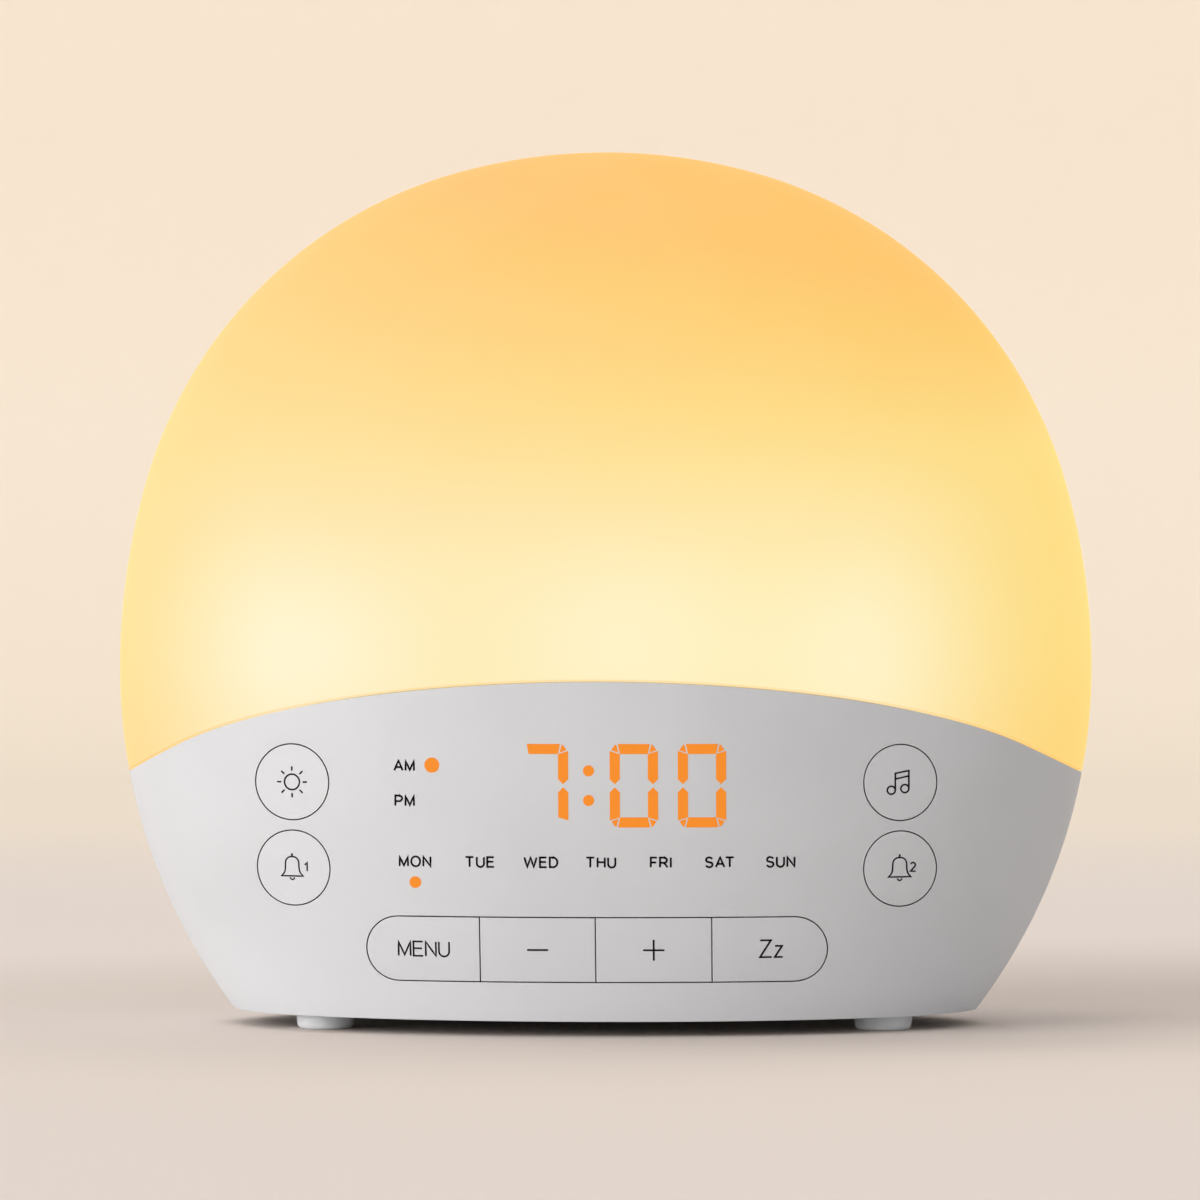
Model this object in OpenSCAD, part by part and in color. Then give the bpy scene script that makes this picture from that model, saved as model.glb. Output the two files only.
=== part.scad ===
// Sunrise alarm clock: a glowing dome on a base that holds a hidden display,
// four round keys, a four-key bar, a speaker and a power inlet.
// +X is the clock's right as its user sees it, -Y is its front, +Z is up.
// The origin is on the table under the middle of the body.

/* [Body] */
// Width of the body at its widest level
body_w = 200; // [194:1:206]
// Depth of the body, front to back
body_d = 120; // [116:1:126]
// Height of the widest level above the table
widest_z = 73; // [71:0.5:75]
// Height of the dome's top above the widest level
dome_h = 106; // [103:1:108]
// Radius of the dome's shoulder
shoulder_r = 92; // [90:0.5:93]
// Radius of the side below the widest level
under_r = 115.5; // [113:0.5:118]
// Height of the base's lower edge above the table
base_z = 3; // [2.5:0.1:4]

/* [Shells] */
// Wall of the fascia and the rear shell at the sides
shell_wall = 2.4; // [2:0.1:2.8]
// Wall of the dome at the sides
dome_wall = 3.4; // [3.4:0.1:4]
// Height of the split line between dome and base, at the sides
split_z = 51.7; // [50.5:0.1:53]
// Radius of the split line's trough, seen from the side
split_r = 76; // [70:1:82]
// Slope of the split line towards the front and back
split_slope = 23.5; // [22:0.5:25]
// Angle at which the slope leaves the trough
split_blend = 1.5; // [1:0.1:2]
// Open gap along every split line
seam = 0.3; // [0.2:0.05:0.5]
// Depth of the dome's lip inside the base
lip_h = 4.6; // [4:0.1:5]
// Gap between the lip and the shells' walls, measured at the sides
lip_gap = 0.4; // [0.3:0.05:0.6]
// Fascia skin left in front of the display, measured at the sides
skin = 1.3; // [1:0.1:1.6]

/* [Tray] */
// Thickness of the reflector tray
tray_t = 1.5; // [1.2:0.1:2]
// Drop of the tray's top below the split line
tray_drop = 2; // [1.8:0.1:2.4]
// Height of the ribs under the tray
tray_rib_h = 3; // [2:0.5:4]
// Thickness of every stiffening rib
rib_t = 1.2; // [1:0.1:1.6]
// Gap between the tray's rim and the dome's lip
tray_gap = 0.4; // [0.3:0.05:0.8]
// Outer diameter of the tray's pillars
pillar_d = 8; // [7:0.2:9]
// Pillar position left and right of the middle
pillar_x = 54; // [50:0.5:56]
// Pillar position in front of and behind the middle
pillar_y = 10; // [8:0.5:11]

/* [Lamp] */
// Length of the lamp board
lamp_board_l = 150; // [140:1:160]
// Width of the lamp board
lamp_board_w = 40; // [36:1:42]
// Height of the lamp board's underside above the table
lamp_board_z = 55; // [54.5:0.5:57]
// Distance between neighbouring lamp clusters
cluster_pitch = 60; // [50:1:62]
// Side of one light-emitting chip
chip_w = 5; // [4:0.1:5.5]
// Height of a chip
chip_h = 1.4; // [1:0.1:1.8]
// Diameter of a chip's round window
chip_window_d = 4; // [3.4:0.1:4.4]
// Distance between neighbouring chips in a cluster
chip_pitch = 9; // [7:0.5:10]
// Distance from a lamp post to the board's end
lamp_post_end = 9; // [7:0.5:12]
// Distance from a lamp post to the board's long edge
lamp_post_edge = 6; // [4.5:0.5:7]
// Diameter of the hole for the lamp's wires
wire_hole_d = 6; // [4:0.5:8]
// Diameter of the dome's screw posts
post_d = 8; // [7:0.2:8.4]
// Distance from a dome post's middle to the tray's rim, along x
post_inset = 3.5; // [3.2:0.1:4.5]
// Height of the dome's screw posts
post_h = 14; // [12:0.5:16]
// Dome post position in front of and behind the middle
post_y = 14; // [12:0.5:16]

/* [Keys] */
// Diameter of a round key's opening in the fascia
key_hole_d = 15.5; // [15:0.1:16]
// Gap around every key
key_gap = 0.4; // [0.3:0.05:0.5]
// Distance of the round keys' columns from the middle
key_x = 60.4; // [59:0.2:61]
// Height of the upper round keys
key_high_z = 50.7; // [50.2:0.1:51.2]
// Height of the lower round keys
key_low_z = 33.5; // [32.5:0.1:33.8]
// Width of the key bar's opening
bar_w = 92; // [88:0.5:96]
// Height of the key bar's opening
bar_h = 13.3; // [12.5:0.1:14]
// Height of the key bar's middle
bar_z = 17.9; // [17.4:0.1:18.4]
// How far every key travels
key_travel = 0.5; // [0.3:0.05:0.6]
// Depth of a key's cap with its skirt, measured at the sides
cap_t = 5; // [4.6:0.1:5.4]
// Wall of a cap's face and skirt
cap_wall = 1.6; // [1.2:0.1:2]
// How far a cap's flange reaches past its opening
flange = 0.45; // [0.35:0.05:0.55]
// Diameter of a cap's stem
stem_d = 4; // [3.4:0.1:4.6]
// How far the upper keys' stems sit below their caps' middles
stem_drop = 1.8; // [1.4:0.1:2.2]

/* [Display] */
// Sideways position of the display's middle
display_x = -1.6; // [-2.5:0.1:0]
// Height of the display's middle
display_z = 50.4; // [50:0.1:50.6]
// Height of a digit
digit_h = 16.5; // [15.5:0.1:16.8]
// Width of a digit
digit_w = 9.6; // [9:0.1:10.2]
// Distance between neighbouring digits
digit_pitch = 13.35; // [12.8:0.05:13.6]
// Width of a digit's segments
segment_w = 2; // [1.6:0.1:2.2]
// Gap between neighbouring segments
segment_gap = 0.35; // [0.25:0.05:0.5]
// Distance between the two rows of the colon
colon_pitch = 5.8; // [5:0.1:7]
// Diameter of a colon's dot
colon_d = 2.2; // [1.8:0.1:2.4]
// Plastic left around the digits in the display block
block_margin = 1.4; // [1.2:0.1:1.6]
// Wall of the frame that holds the display block in the fascia
frame_wall = 1.2; // [1:0.1:1.6]
// Depth of the display block left standing out of that frame
frame_short = 4; // [3:0.5:6]
// Diameter of an indicator light
pipe_d = 2.3; // [2:0.1:2.6]
// Height of the row of day lights
day_z = 31; // [30.8:0.1:31.4]
// Distance between neighbouring day lights
day_pitch = 12.08; // [11.6:0.02:12.2]
// Sideways position of the morning and afternoon lights
half_day_x = -32.7; // [-33:0.1:-32.5]
// Height of the morning light
morning_z = 54.4; // [54:0.1:54.8]
// Height of the afternoon light
afternoon_z = 47.3; // [46.8:0.1:48]

/* [Boards] */
// Thickness of every circuit board
board_t = 1.6; // [1.2:0.1:1.8]
// Room between the main board and the lower round keys' caps
key_room = 5.1; // [4.8:0.1:5.5]
// Width of the main board
main_w = 134; // [130:1:136]
// Height of the main board's lower edge
main_low_z = 9.5; // [8:0.1:10]
// Height of the main board's upper edge
main_high_z = 52.2; // [52:0.1:52.3]
// Distance of the display board's front face behind the fascia's front
display_set_back = 12.7; // [12.4:0.1:13]
// Width of the display board
display_board_w = 82; // [80:0.5:83]
// Height of the display board's lower edge
display_low_z = 28; // [27.4:0.1:28.4]
// Height of the display board's upper edge
display_high_z = 59.8; // [59.6:0.1:60]
// Side of a key switch
switch_w = 6; // [5.6:0.1:6.2]
// Height of a key switch above the board
switch_h = 3.5; // [3.2:0.1:3.8]
// Diameter of a switch's plunger
plunger_d = 3.4; // [3:0.1:3.6]
// How far a plunger stands out of its switch
plunger_out = 1.5; // [1.2:0.1:1.8]
// How far a plunger reaches into its switch
plunger_in = 1; // [0.8:0.1:1.2]
// Gap around a plunger in its switch
plunger_gap = 0.3; // [0.2:0.05:0.4]

/* [Speaker] */
// Side of the speaker's square flange
speaker_w = 34; // [32:0.5:35]
// Sideways position of the speaker's middle
speaker_x = -30; // [-32:0.5:-28]
// Height of the speaker's middle
speaker_z = 27.5; // [26.5:0.5:29]
// Distance of the speaker's flange inside the rear shell's surface, at its middle
speaker_set_back = 13.6; // [13.4:0.1:14.5]
// Thickness of the speaker's flange
flange_t = 1.5; // [1.2:0.1:2]
// Corner radius of the speaker's flange
flange_r = 3; // [2:0.5:4]
// Diameter of the speaker's basket at the flange
basket_d = 31; // [30:0.5:31.5]
// Diameter of the speaker's basket at its bottom
basket_low_d = 22; // [21:0.5:23]
// Depth of the speaker's basket
basket_h = 9; // [8:0.5:10]
// Diameter of the speaker's magnet
magnet_d = 20; // [18:0.5:21]
// Height of the speaker's magnet
magnet_h = 4.6; // [4:0.2:6]
// Wall of the ring that seals the speaker to the rear shell
ring_wall = 1.5; // [1.2:0.1:2]
// Diameter of a hole in the speaker's grille
grille_hole_d = 2.4; // [1.8:0.1:2.8]
// Distance between neighbouring rings of grille holes
grille_pitch = 4.2; // [3.8:0.1:4.6]
// Number of rings of grille holes
grille_rings = 3; // [2:1:3]

/* [Power inlet] */
// Sideways position of the inlet
inlet_x = 32; // [30:0.5:34]
// Height of the inlet's middle
inlet_z = 14.5; // [14.2:0.1:15.5]
// Diameter of the round recess for the plug
bay_d = 13; // [12:0.2:14]
// Depth of the recess at its middle
bay_depth = 6.66; // [6:0.02:7.4]
// Wall around the recess
bay_wall = 1.5; // [1.2:0.1:2]
// Thickness of the recess's floor
bay_floor = 2; // [1.6:0.1:2.4]
// Diameter of the inlet's nose
nose_d = 8; // [7.4:0.1:8.6]
// Bore of the inlet
inlet_bore = 6.3; // [5.6:0.1:6.5]
// Depth of the inlet's bore
inlet_depth = 11; // [9:0.5:12]
// Diameter of the inlet's centre pin
pin_d = 2; // [1.6:0.1:2.5]

/* [Base plate, feet and screws] */
// Thickness of the base plate
plate_t = 2.4; // [2.2:0.1:2.8]
// Gap between the base plate and the shells
plate_gap = 0.3; // [0.2:0.05:0.5]
// Diameter of a foot at its top
foot_d = 11.8; // [10:0.1:12.4]
// Rounding of a foot's lower edge
foot_round = 0.8; // [0.4:0.1:1.2]
// Distance from a foot's middle to the base plate's edge, along x
foot_inset = 8; // [7:0.1:10]
// Foot position in front of and behind the middle
foot_y = 20.5; // [20:0.1:21]
// Diameter of a foot's peg
peg_d = 4; // [3:0.1:5]
// Thread diameter of every screw
screw_d = 2.5; // [2.2:0.1:2.8]
// Head diameter of every screw
head_d = 4.8; // [4.2:0.1:5]
// Head height of every screw
head_h = 1.4; // [1:0.1:1.6]
// Gap around a screw or a peg in its hole
hole_gap = 0.2; // [0.1:0.05:0.3]
// Outer diameter of a screw boss
boss_d = 6; // [5.6:0.1:6.4]
// Distance from a shell boss's middle to the base plate's edge, along y
boss_inset = 3.7; // [3.4:0.1:5]

/* [Hidden] */
$fn = 64;
LEFT_RIGHT = [-1, 1];
KEYS = ["brightness", "alarm_1", "sound", "alarm_2", "menu", "minus", "plus", "snooze"];
FEET = ["foot_front_left", "foot_front_right", "foot_rear_left", "foot_rear_right"];

half_w = body_w/2;
squash = body_d/body_w;
far = 400;
thick = 60;

// The dome's outline is three arcs, at the side, the shoulder and the top.
// They meet on lines that leave the shoulder's centre in these directions.
side_dir = [0.96, 0.28];
top_dir = [0.28, 0.96];
run = half_w - shoulder_r*(side_dir.x - top_dir.x);
rise = dome_h - shoulder_r*(top_dir.y - side_dir.y);
det = (1 - side_dir.x)*(1 - top_dir.y) - top_dir.x*side_dir.y;
side_r = (run*(1 - top_dir.y) - rise*top_dir.x)/det;
top_r = ((1 - side_dir.x)*rise - side_dir.y*run)/det;
side_c = [half_w - side_r, 0];
top_c = [0, dome_h - top_r];
shoulder_c = side_c + (side_r - shoulder_r)*side_dir;

// Half width of the body below its widest level, inside a wall
function under_x(z, inset = 0) =
  half_w - under_r + sqrt(pow(under_r - inset, 2) - pow(z - widest_z, 2));

// Distance of the body's front from the middle, inside a wall
function front_y(x, z, inset = 0) = squash*sqrt(pow(under_x(z, inset), 2) - x*x);

// Half width and half depth of an oval of the body's proportions, at an offset
function oval_x(r, y) = sqrt(r*r - pow(y/squash, 2));
function oval_y(r, x) = squash*sqrt(r*r - x*x);

plate_top = base_z + plate_t;
plate_r = under_x(base_z, shell_wall) - plate_gap;
foot_x = oval_x(plate_r, foot_y) - foot_inset;
tray_r = under_x(split_z - tray_drop - tray_t, dome_wall) - tray_gap;
tray_shift = -tray_drop - tray_t;
post_x = oval_x(tray_r, post_y) - post_inset;
main_y = front_y(key_x + key_hole_d/2, key_low_z, cap_t) - key_room;
display_y = front_y(0, display_z) - display_set_back;
speaker_y = front_y(speaker_x, speaker_z) - speaker_set_back;
bay_y = front_y(inlet_x, inlet_z) - bay_depth;
pipe_gap = 0.3;
flange_gap = 0.6;
bore_d = screw_d + 2*hole_gap;
switch_top = main_y + switch_h;
plunger_tip = switch_top + plunger_out;
plunger_end = switch_top - plunger_in;
plunger_well = plunger_in + key_travel + 0.3;
colon_room = 0.4;
led_room = 1;
pocket_gap = 0.6;
led = [1.6, 0.8, 0.6];
leg_l = 1.2;
leg_w = 0.7;
leg_t = 0.4;
basket_wall = 1.3;
basket_window = 7;
cone_gap = 0.3;
cone_t = 0.6;
cone_h = 6.6;
cap_r = 7;
cap_rise = 6;
roll_r = 1.2;
digit_xs = [for (i = [-1.5, -0.5, 0.5, 1.5]) display_x + i*digit_pitch + sign(i)*colon_room];
block_w = 3*digit_pitch + digit_w + 2*colon_room + 2*block_margin;
block_h = digit_h + 2*block_margin;

// Each key: its middle, its stem's height, and for a bar key its left and right edges
bar_edges = [-bar_w/2, -bar_w/4, 0, bar_w/4, bar_w/2];
bar_part_gap = 0.5;
function bar_x(i) = (bar_edges[i] + bar_edges[i + 1])/2;
KEY_AT = [
  [-key_x, key_high_z], [-key_x, key_low_z], [key_x, key_high_z], [key_x, key_low_z],
  [bar_x(0), bar_z], [bar_x(1), bar_z], [bar_x(2), bar_z], [bar_x(3), bar_z]
];
function is_round(i) = i < 4;
function stem_z(i) = KEY_AT[i].y - (KEY_AT[i].y == key_high_z ? stem_drop : 0);

main_boss_x = 46;
main_boss_zs = [29.5, 47];
display_boss_x = 38;
display_boss_zs = [37.5, 57];
display_boss_d = 5;
shell_boss_h = 4.5;
function shell_boss_at(x, side) = [x, side*(oval_y(plate_r, x) - boss_inset)];
shell_boss_front = shell_boss_at(25, -1);
shell_boss_rear = shell_boss_at(10, 1);
inlet_body = [9, 14, 11];
power_board_x = [inlet_x - 18, inlet_x + 13];
power_board_y = [bay_y - 52, bay_y - 5];
power_board_z = inlet_z - inlet_body.z/2 - board_t;
screw_room = 0.1;
dome_screw_l = 8;
lamp_screw_l = 5;
plate_screw_l = 4.2;
main_screw_l = 7;
display_screw_l = 4.4;
speaker_screw_l = 3.8;
power_screw_l = 3.2;
tray_rib_y = 20;
screw_seat = head_h + screw_room;
post_seat_z = split_z + tray_shift + split_r - sqrt(pow(split_r, 2) - pow(post_y - boss_d/2, 2)) - screw_room;
lamp_post = [lamp_board_l/2 - lamp_post_end, lamp_board_w/2 - lamp_post_edge];

// Block parts on the boards: middle across and up, width, height and thickness
MAIN_PARTS = [[-12, 34, 12, 12, 1.4], [-34, 38, 5, 6, 1.4], [20, 44, 12, 5, 6], [-34, 20, 7, 5, 6],
              [34, 20, 7, 5, 6], [6, 24, 4, 2, 1.2], [32, 38, 8, 8, 4]];
DISPLAY_PARTS = [[0, 37, 12, 5, 5], [-22, 44, 8, 6, 1.4]];
POWER_PARTS = [[21, 18, 9, 9, 5], [15.5, 4, 8, 5, 6], [10, 31, 5, 4, 1.4]];
capacitor_d = 8;
capacitor_h = 11;

lamp_post_z = split_z - tray_drop - tray_t/2 + split_r - sqrt(pow(split_r, 2) - pow(lamp_post.y, 2));

// ---------------------------------------------------------------- shapes

module sector(c, r, from, to)
  intersection() {
    translate(c) circle(r = r);
    polygon([c, c + far*from, c + far*to]);
  }

// Half outline of the body, inside a wall; the widest level is at y = 0
module outline(inset) {
  sector(side_c, side_r - inset, [1, 0], side_dir);
  sector(shoulder_c, shoulder_r - inset, side_dir, top_dir);
  sector(top_c, top_r - inset, top_dir, [0, 1]);
  intersection() {
    translate([half_w - under_r, 0]) circle(r = under_r - inset);
    translate([0, -widest_z]) square([body_w, widest_z]);
  }
}

// Front half of the space between two depths below the body's surface
module front_skin(outer, inner)
  translate([0, 0, widest_z]) scale([1, squash, 1]) rotate([0, 0, 180])
    rotate_extrude(angle = 180, $fn = 96) intersection() {
      difference() {
        outline(outer);
        outline(inner);
      }
      translate([0, -widest_z]) square([body_w, 3*body_w]);
    }

module rear_skin(outer, inner) mirror([0, 1, 0]) front_skin(outer, inner);

// Side view of everything above the split line, moved up by shift
module split_profile(shift) {
  c = [0, split_z + split_r + shift];
  start = c + split_r*cos(split_blend)*[sin(split_slope), -cos(split_slope)];
  climb = (body_w - start.x)*tan(split_slope);
  translate(c) circle(r = split_r, $fn = 180);
  polygon([
    [-start.x, start.y], start, [body_w, start.y + climb],
    [body_w, 3*body_w], [-body_w, 3*body_w], [-body_w, start.y + climb]
  ]);
}

module along_x() translate([-body_w, 0, 0]) rotate([90, 0, 90]) linear_extrude(2*body_w) children();

module above_split(shift) along_x() split_profile(shift);

module oval(r, h) scale([1, squash, 1]) cylinder(r = r, h = h, $fn = 96);

// Turns a shape so that its z axis points to the front (or the back), starting y from the middle
module to_front(x, y, z) translate([x, -y, z]) rotate([90, 0, 0]) children();
module to_back(x, y, z) translate([x, y, z]) rotate([-90, 0, 0]) children();

module bar_outline(grow = 0)
  union() {
    square([bar_w - bar_h, bar_h + 2*grow], center = true);
    for (side = LEFT_RIGHT) translate([side*(bar_w - bar_h)/2, 0]) circle(d = bar_h + 2*grow);
  }

module screw(length) {
  translate([0, 0, -head_h]) cylinder(d = head_d, h = head_h);
  cylinder(d = screw_d, h = length);
}

module board_corners(w, d) for (x = [-w, w]) for (y = [-d, d]) translate([x, y, 0]) children();

// ---------------------------------------------------------------- dome and tray

module dome_half()
  difference() {
    intersection() {
      front_skin(0, dome_wall);
      above_split(-lip_h);
    }
    difference() {
      front_skin(-2, shell_wall + lip_gap);
      above_split(seam/2);
    }
  }

module dome_post_half()
  for (side = LEFT_RIGHT) difference() {
    intersection() {
      union() {
        translate([side*post_x, -post_y, split_z - tray_drop]) cylinder(d = post_d, h = post_h);
        translate([side*(post_x + 10), -post_y, split_z - tray_drop + post_h/2])
          cube([20, rib_t, post_h], center = true);
      }
      front_skin(shell_wall + lip_gap, thick);
      above_split(-tray_drop + pipe_gap);
    }
    translate([side*post_x, -post_y, 0]) cylinder(d = bore_d, h = split_z + 10);
  }

module diffuser_dome() color("gold") {
  dome_half();
  mirror([0, 1, 0]) dome_half();
  dome_post_half();
  mirror([0, 1, 0]) dome_post_half();
}

// The tray's trough, ribs below it and flat seats for the dome's screws
module tray_sheet() intersection() {
  translate([0, 0, 40]) oval(tray_r, 40);
  union() {
    along_x() difference() {
      split_profile(tray_shift);
      split_profile(-tray_drop);
    }
    intersection() {
      along_x() difference() {
        split_profile(tray_shift - tray_rib_h);
        split_profile(tray_shift + tray_t/2);
      }
      union() {
        for (y = [-tray_rib_y, tray_rib_y])
          translate([-pillar_x, y - rib_t/2, 0]) cube([2*pillar_x, rib_t, body_w]);
        for (x = [-pillar_x/2, pillar_x/2])
          translate([x - rib_t/2, -tray_rib_y, 0]) cube([rib_t, 2*tray_rib_y, body_w]);
      }
    }
    intersection() {
      board_corners(post_x, post_y) translate([0, 0, post_seat_z]) cylinder(d = boss_d, h = 10);
      along_x() difference() {
        translate([-body_w, 0]) square(2*body_w);
        split_profile(tray_shift + tray_t/2);
      }
    }
  }
}

module reflector_tray() color("white") difference() {
  union() {
    tray_sheet();
    for (x = [-pillar_x, pillar_x]) for (y = [-pillar_y, pillar_y])
      translate([x, y, plate_top]) cylinder(d = pillar_d, h = split_z - tray_drop - plate_top);
    board_corners(lamp_post.x, lamp_post.y)
      translate([0, 0, lamp_post_z]) cylinder(d = boss_d, h = lamp_board_z - lamp_post_z);
  }
  for (x = [-pillar_x, pillar_x]) for (y = [-pillar_y, pillar_y])
    translate([x, y, 0]) cylinder(d = bore_d, h = plate_top + 12);
  board_corners(post_x, post_y) translate([0, 0, split_z - 10]) cylinder(d = bore_d, h = 20);
  board_corners(lamp_post.x, lamp_post.y)
    translate([0, 0, lamp_board_z - lamp_screw_l]) cylinder(d = bore_d, h = 10);
  translate([cluster_pitch/2, 0, 0]) cylinder(d = wire_hole_d, h = body_w);
}

module dome_screws() color("silver")
  board_corners(post_x, post_y) translate([0, 0, post_seat_z]) screw(dome_screw_l);

// ---------------------------------------------------------------- lamp

module lamp_board() color("whitesmoke") difference() {
  union() {
    translate([-lamp_board_l/2, -lamp_board_w/2, lamp_board_z]) cube([lamp_board_l, lamp_board_w, board_t]);
    translate([cluster_pitch/2, 0, lamp_board_z + board_t + 2]) cube([6, 9, 4], center = true);
  }
  board_corners(lamp_post.x, lamp_post.y)
    translate([0, 0, lamp_board_z - 1]) cylinder(d = bore_d, h = 4);
}

module lamp_chips() color("lightyellow")
  for (cluster = [-1:1]) for (i = [-1:1]) for (j = [-1:1])
    translate([cluster*cluster_pitch + i*chip_pitch, j*chip_pitch, lamp_board_z + board_t]) difference() {
      translate([-chip_w/2, -chip_w/2, 0]) cube([chip_w, chip_w, chip_h]);
      translate([0, 0, chip_h - 0.2]) cylinder(d = chip_window_d, h = 1);
    }

module lamp_screws() color("silver")
  board_corners(lamp_post.x, lamp_post.y)
    translate([0, 0, lamp_board_z + board_t]) mirror([0, 0, 1]) screw(lamp_screw_l);

// ---------------------------------------------------------------- shells

module shell_boss(at)
  for (side = LEFT_RIGHT) translate([side*at.x, at.y, plate_top]) {
    cylinder(d = boss_d, h = shell_boss_h);
    translate([-1, at.y > 0 ? 0 : -15, 0]) cube([2, 15, shell_boss_h]);
  }

module shell_boss_bores(at)
  for (side = LEFT_RIGHT) translate([side*at.x, at.y, 0]) cylinder(d = bore_d, h = plate_top + shell_boss_h - 0.8);

module front_half_space()
  translate([-body_w, -body_w - seam/2, base_z]) cube([2*body_w, body_w, body_w]);

module main_boss_at() for (x = [-main_boss_x, main_boss_x]) for (z = main_boss_zs)
  to_front(x, main_y, z) children();

module display_boss_at() for (x = [-display_boss_x, display_boss_x]) for (z = display_boss_zs)
  to_front(x, display_y, z) children();

module indicator_at() {
  for (day = [-3:3]) to_front(day*day_pitch, display_y, day_z) children();
  for (z = [morning_z, afternoon_z]) to_front(half_day_x, display_y, z) children();
}

module block_pocket(grow)
  translate([display_x, 0, display_z]) rotate([90, 0, 0])
    linear_extrude(body_d) square([block_w + 2*grow, block_h + 2*grow], center = true);

module display_frame() intersection() {
  difference() {
    block_pocket(pocket_gap + frame_wall);
    block_pocket(pocket_gap);
  }
  translate([-body_w/2, -body_d, 0]) cube([body_w, body_d - display_y - frame_short, body_w]);
}

module front_fascia() color("lightgray") difference() {
  union() {
    difference() {
      intersection() {
        front_skin(0, shell_wall);
        front_half_space();
      }
      above_split(-seam/2);
    }
    intersection() {
      union() {
        main_boss_at() cylinder(d = boss_d, h = 40);
        display_boss_at() cylinder(d = display_boss_d, h = 20);
        display_frame();
        shell_boss(shell_boss_front);
      }
      front_skin(shell_wall/2, thick);
    }
  }
  for (i = [0:3]) to_front(KEY_AT[i].x, 20, KEY_AT[i].y) cylinder(d = key_hole_d, h = body_d);
  to_front(0, 20, bar_z) linear_extrude(body_d) bar_outline();
  main_boss_at() translate([0, 0, -1]) cylinder(d = bore_d, h = 9);
  display_boss_at() translate([0, 0, -1]) cylinder(d = bore_d, h = 5);
  shell_boss_bores(shell_boss_front);
  intersection() {
    union() {
      block_pocket(pocket_gap);
      indicator_at() cylinder(d = pipe_d + 2*pipe_gap, h = 30);
    }
    front_skin(skin, 3*shell_wall);
  }
}

module grille_holes()
  for (ring = [0:grille_rings]) for (i = [0:max(6*ring, 1) - 1])
    to_back(speaker_x + ring*grille_pitch*cos(60*i/max(ring, 1)), 30,
            speaker_z + ring*grille_pitch*sin(60*i/max(ring, 1)))
      cylinder(d = grille_hole_d, h = body_d);

module speaker_corners() for (x = LEFT_RIGHT) for (z = LEFT_RIGHT)
  to_back(speaker_x + x*(speaker_w/2 - 3), speaker_y, speaker_z + z*(speaker_w/2 - 3)) children();

module rear_shell() color("lightgray") difference() {
  union() {
    difference() {
      intersection() {
        rear_skin(0, shell_wall);
        mirror([0, 1, 0]) front_half_space();
      }
      above_split(-seam/2);
    }
    intersection() {
      union() {
        speaker_corners() cylinder(d = boss_d - 0.6, h = 30);
        to_back(speaker_x, speaker_y, speaker_z) difference() {
          cylinder(d = basket_d + ring_wall/2, h = 30);
          translate([0, 0, -1]) cylinder(d = basket_d - 3*ring_wall/2, h = 40);
        }
        shell_boss(shell_boss_rear);
        to_back(inlet_x, bay_y - bay_floor, inlet_z) cylinder(d = bay_d + 2*bay_wall, h = 30);
      }
      rear_skin(shell_wall/2, thick);
    }
  }
  grille_holes();
  speaker_corners() translate([0, 0, -1]) cylinder(d = bore_d, h = 4);
  shell_boss_bores(shell_boss_rear);
  to_back(inlet_x, bay_y, inlet_z) cylinder(d = bay_d, h = 30);
  to_back(inlet_x, bay_y - 5, inlet_z) cylinder(d = nose_d + 2*hole_gap, h = 10);
}

module screw_heads() {
  board_corners(pillar_x, pillar_y) children();
  for (at = [shell_boss_front, shell_boss_rear]) for (side = LEFT_RIGHT)
    translate([side*at.x, at.y, 0]) children();
}

module base_plate() color("dimgray") difference() {
  union() {
    translate([0, 0, base_z]) oval(plate_r, plate_t);
    power_screw_at() translate([0, 0, plate_top - power_board_z - 1])
      cylinder(d = boss_d, h = power_board_z - plate_top + 1);
  }
  power_screw_at() translate([0, 0, -2]) cylinder(d = bore_d, h = 6);
  screw_heads() translate([0, 0, base_z - 1]) cylinder(d = bore_d, h = plate_t + 2);
  screw_heads() translate([0, 0, base_z - 1]) cylinder(d = head_d + 2*hole_gap, h = 1 + screw_seat);
  board_corners(foot_x, foot_y) translate([0, 0, base_z - 1]) cylinder(d = peg_d + 2*hole_gap, h = plate_t + 2);
}

module base_screws() color("silver") screw_heads() translate([0, 0, base_z + screw_seat]) screw(plate_screw_l);

module foot(i) color("gray")
  translate([(i % 2 == 0 ? -1 : 1)*foot_x, (i < 2 ? -1 : 1)*foot_y, 0]) {
    rotate_extrude() {
      square([foot_d/2 - foot_round, base_z]);
      translate([0, foot_round]) square([foot_d/2, base_z - foot_round]);
      translate([foot_d/2 - foot_round, foot_round]) circle(r = foot_round);
    }
    translate([0, 0, base_z/2]) cylinder(d = peg_d, h = plate_top - base_z/2);
  }

// ---------------------------------------------------------------- keys

module bar_part(i, grow = 0)
  intersection() {
    bar_outline(grow);
    translate([bar_edges[i - 4] + bar_part_gap/2, -bar_h]) square([bar_w/4 - bar_part_gap, 2*bar_h]);
  }

module key_outline(i, grow = 0)
  if (is_round(i)) translate(KEY_AT[i]) circle(d = key_hole_d + 2*grow);
  else translate([0, bar_z]) bar_part(i, grow);

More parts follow.
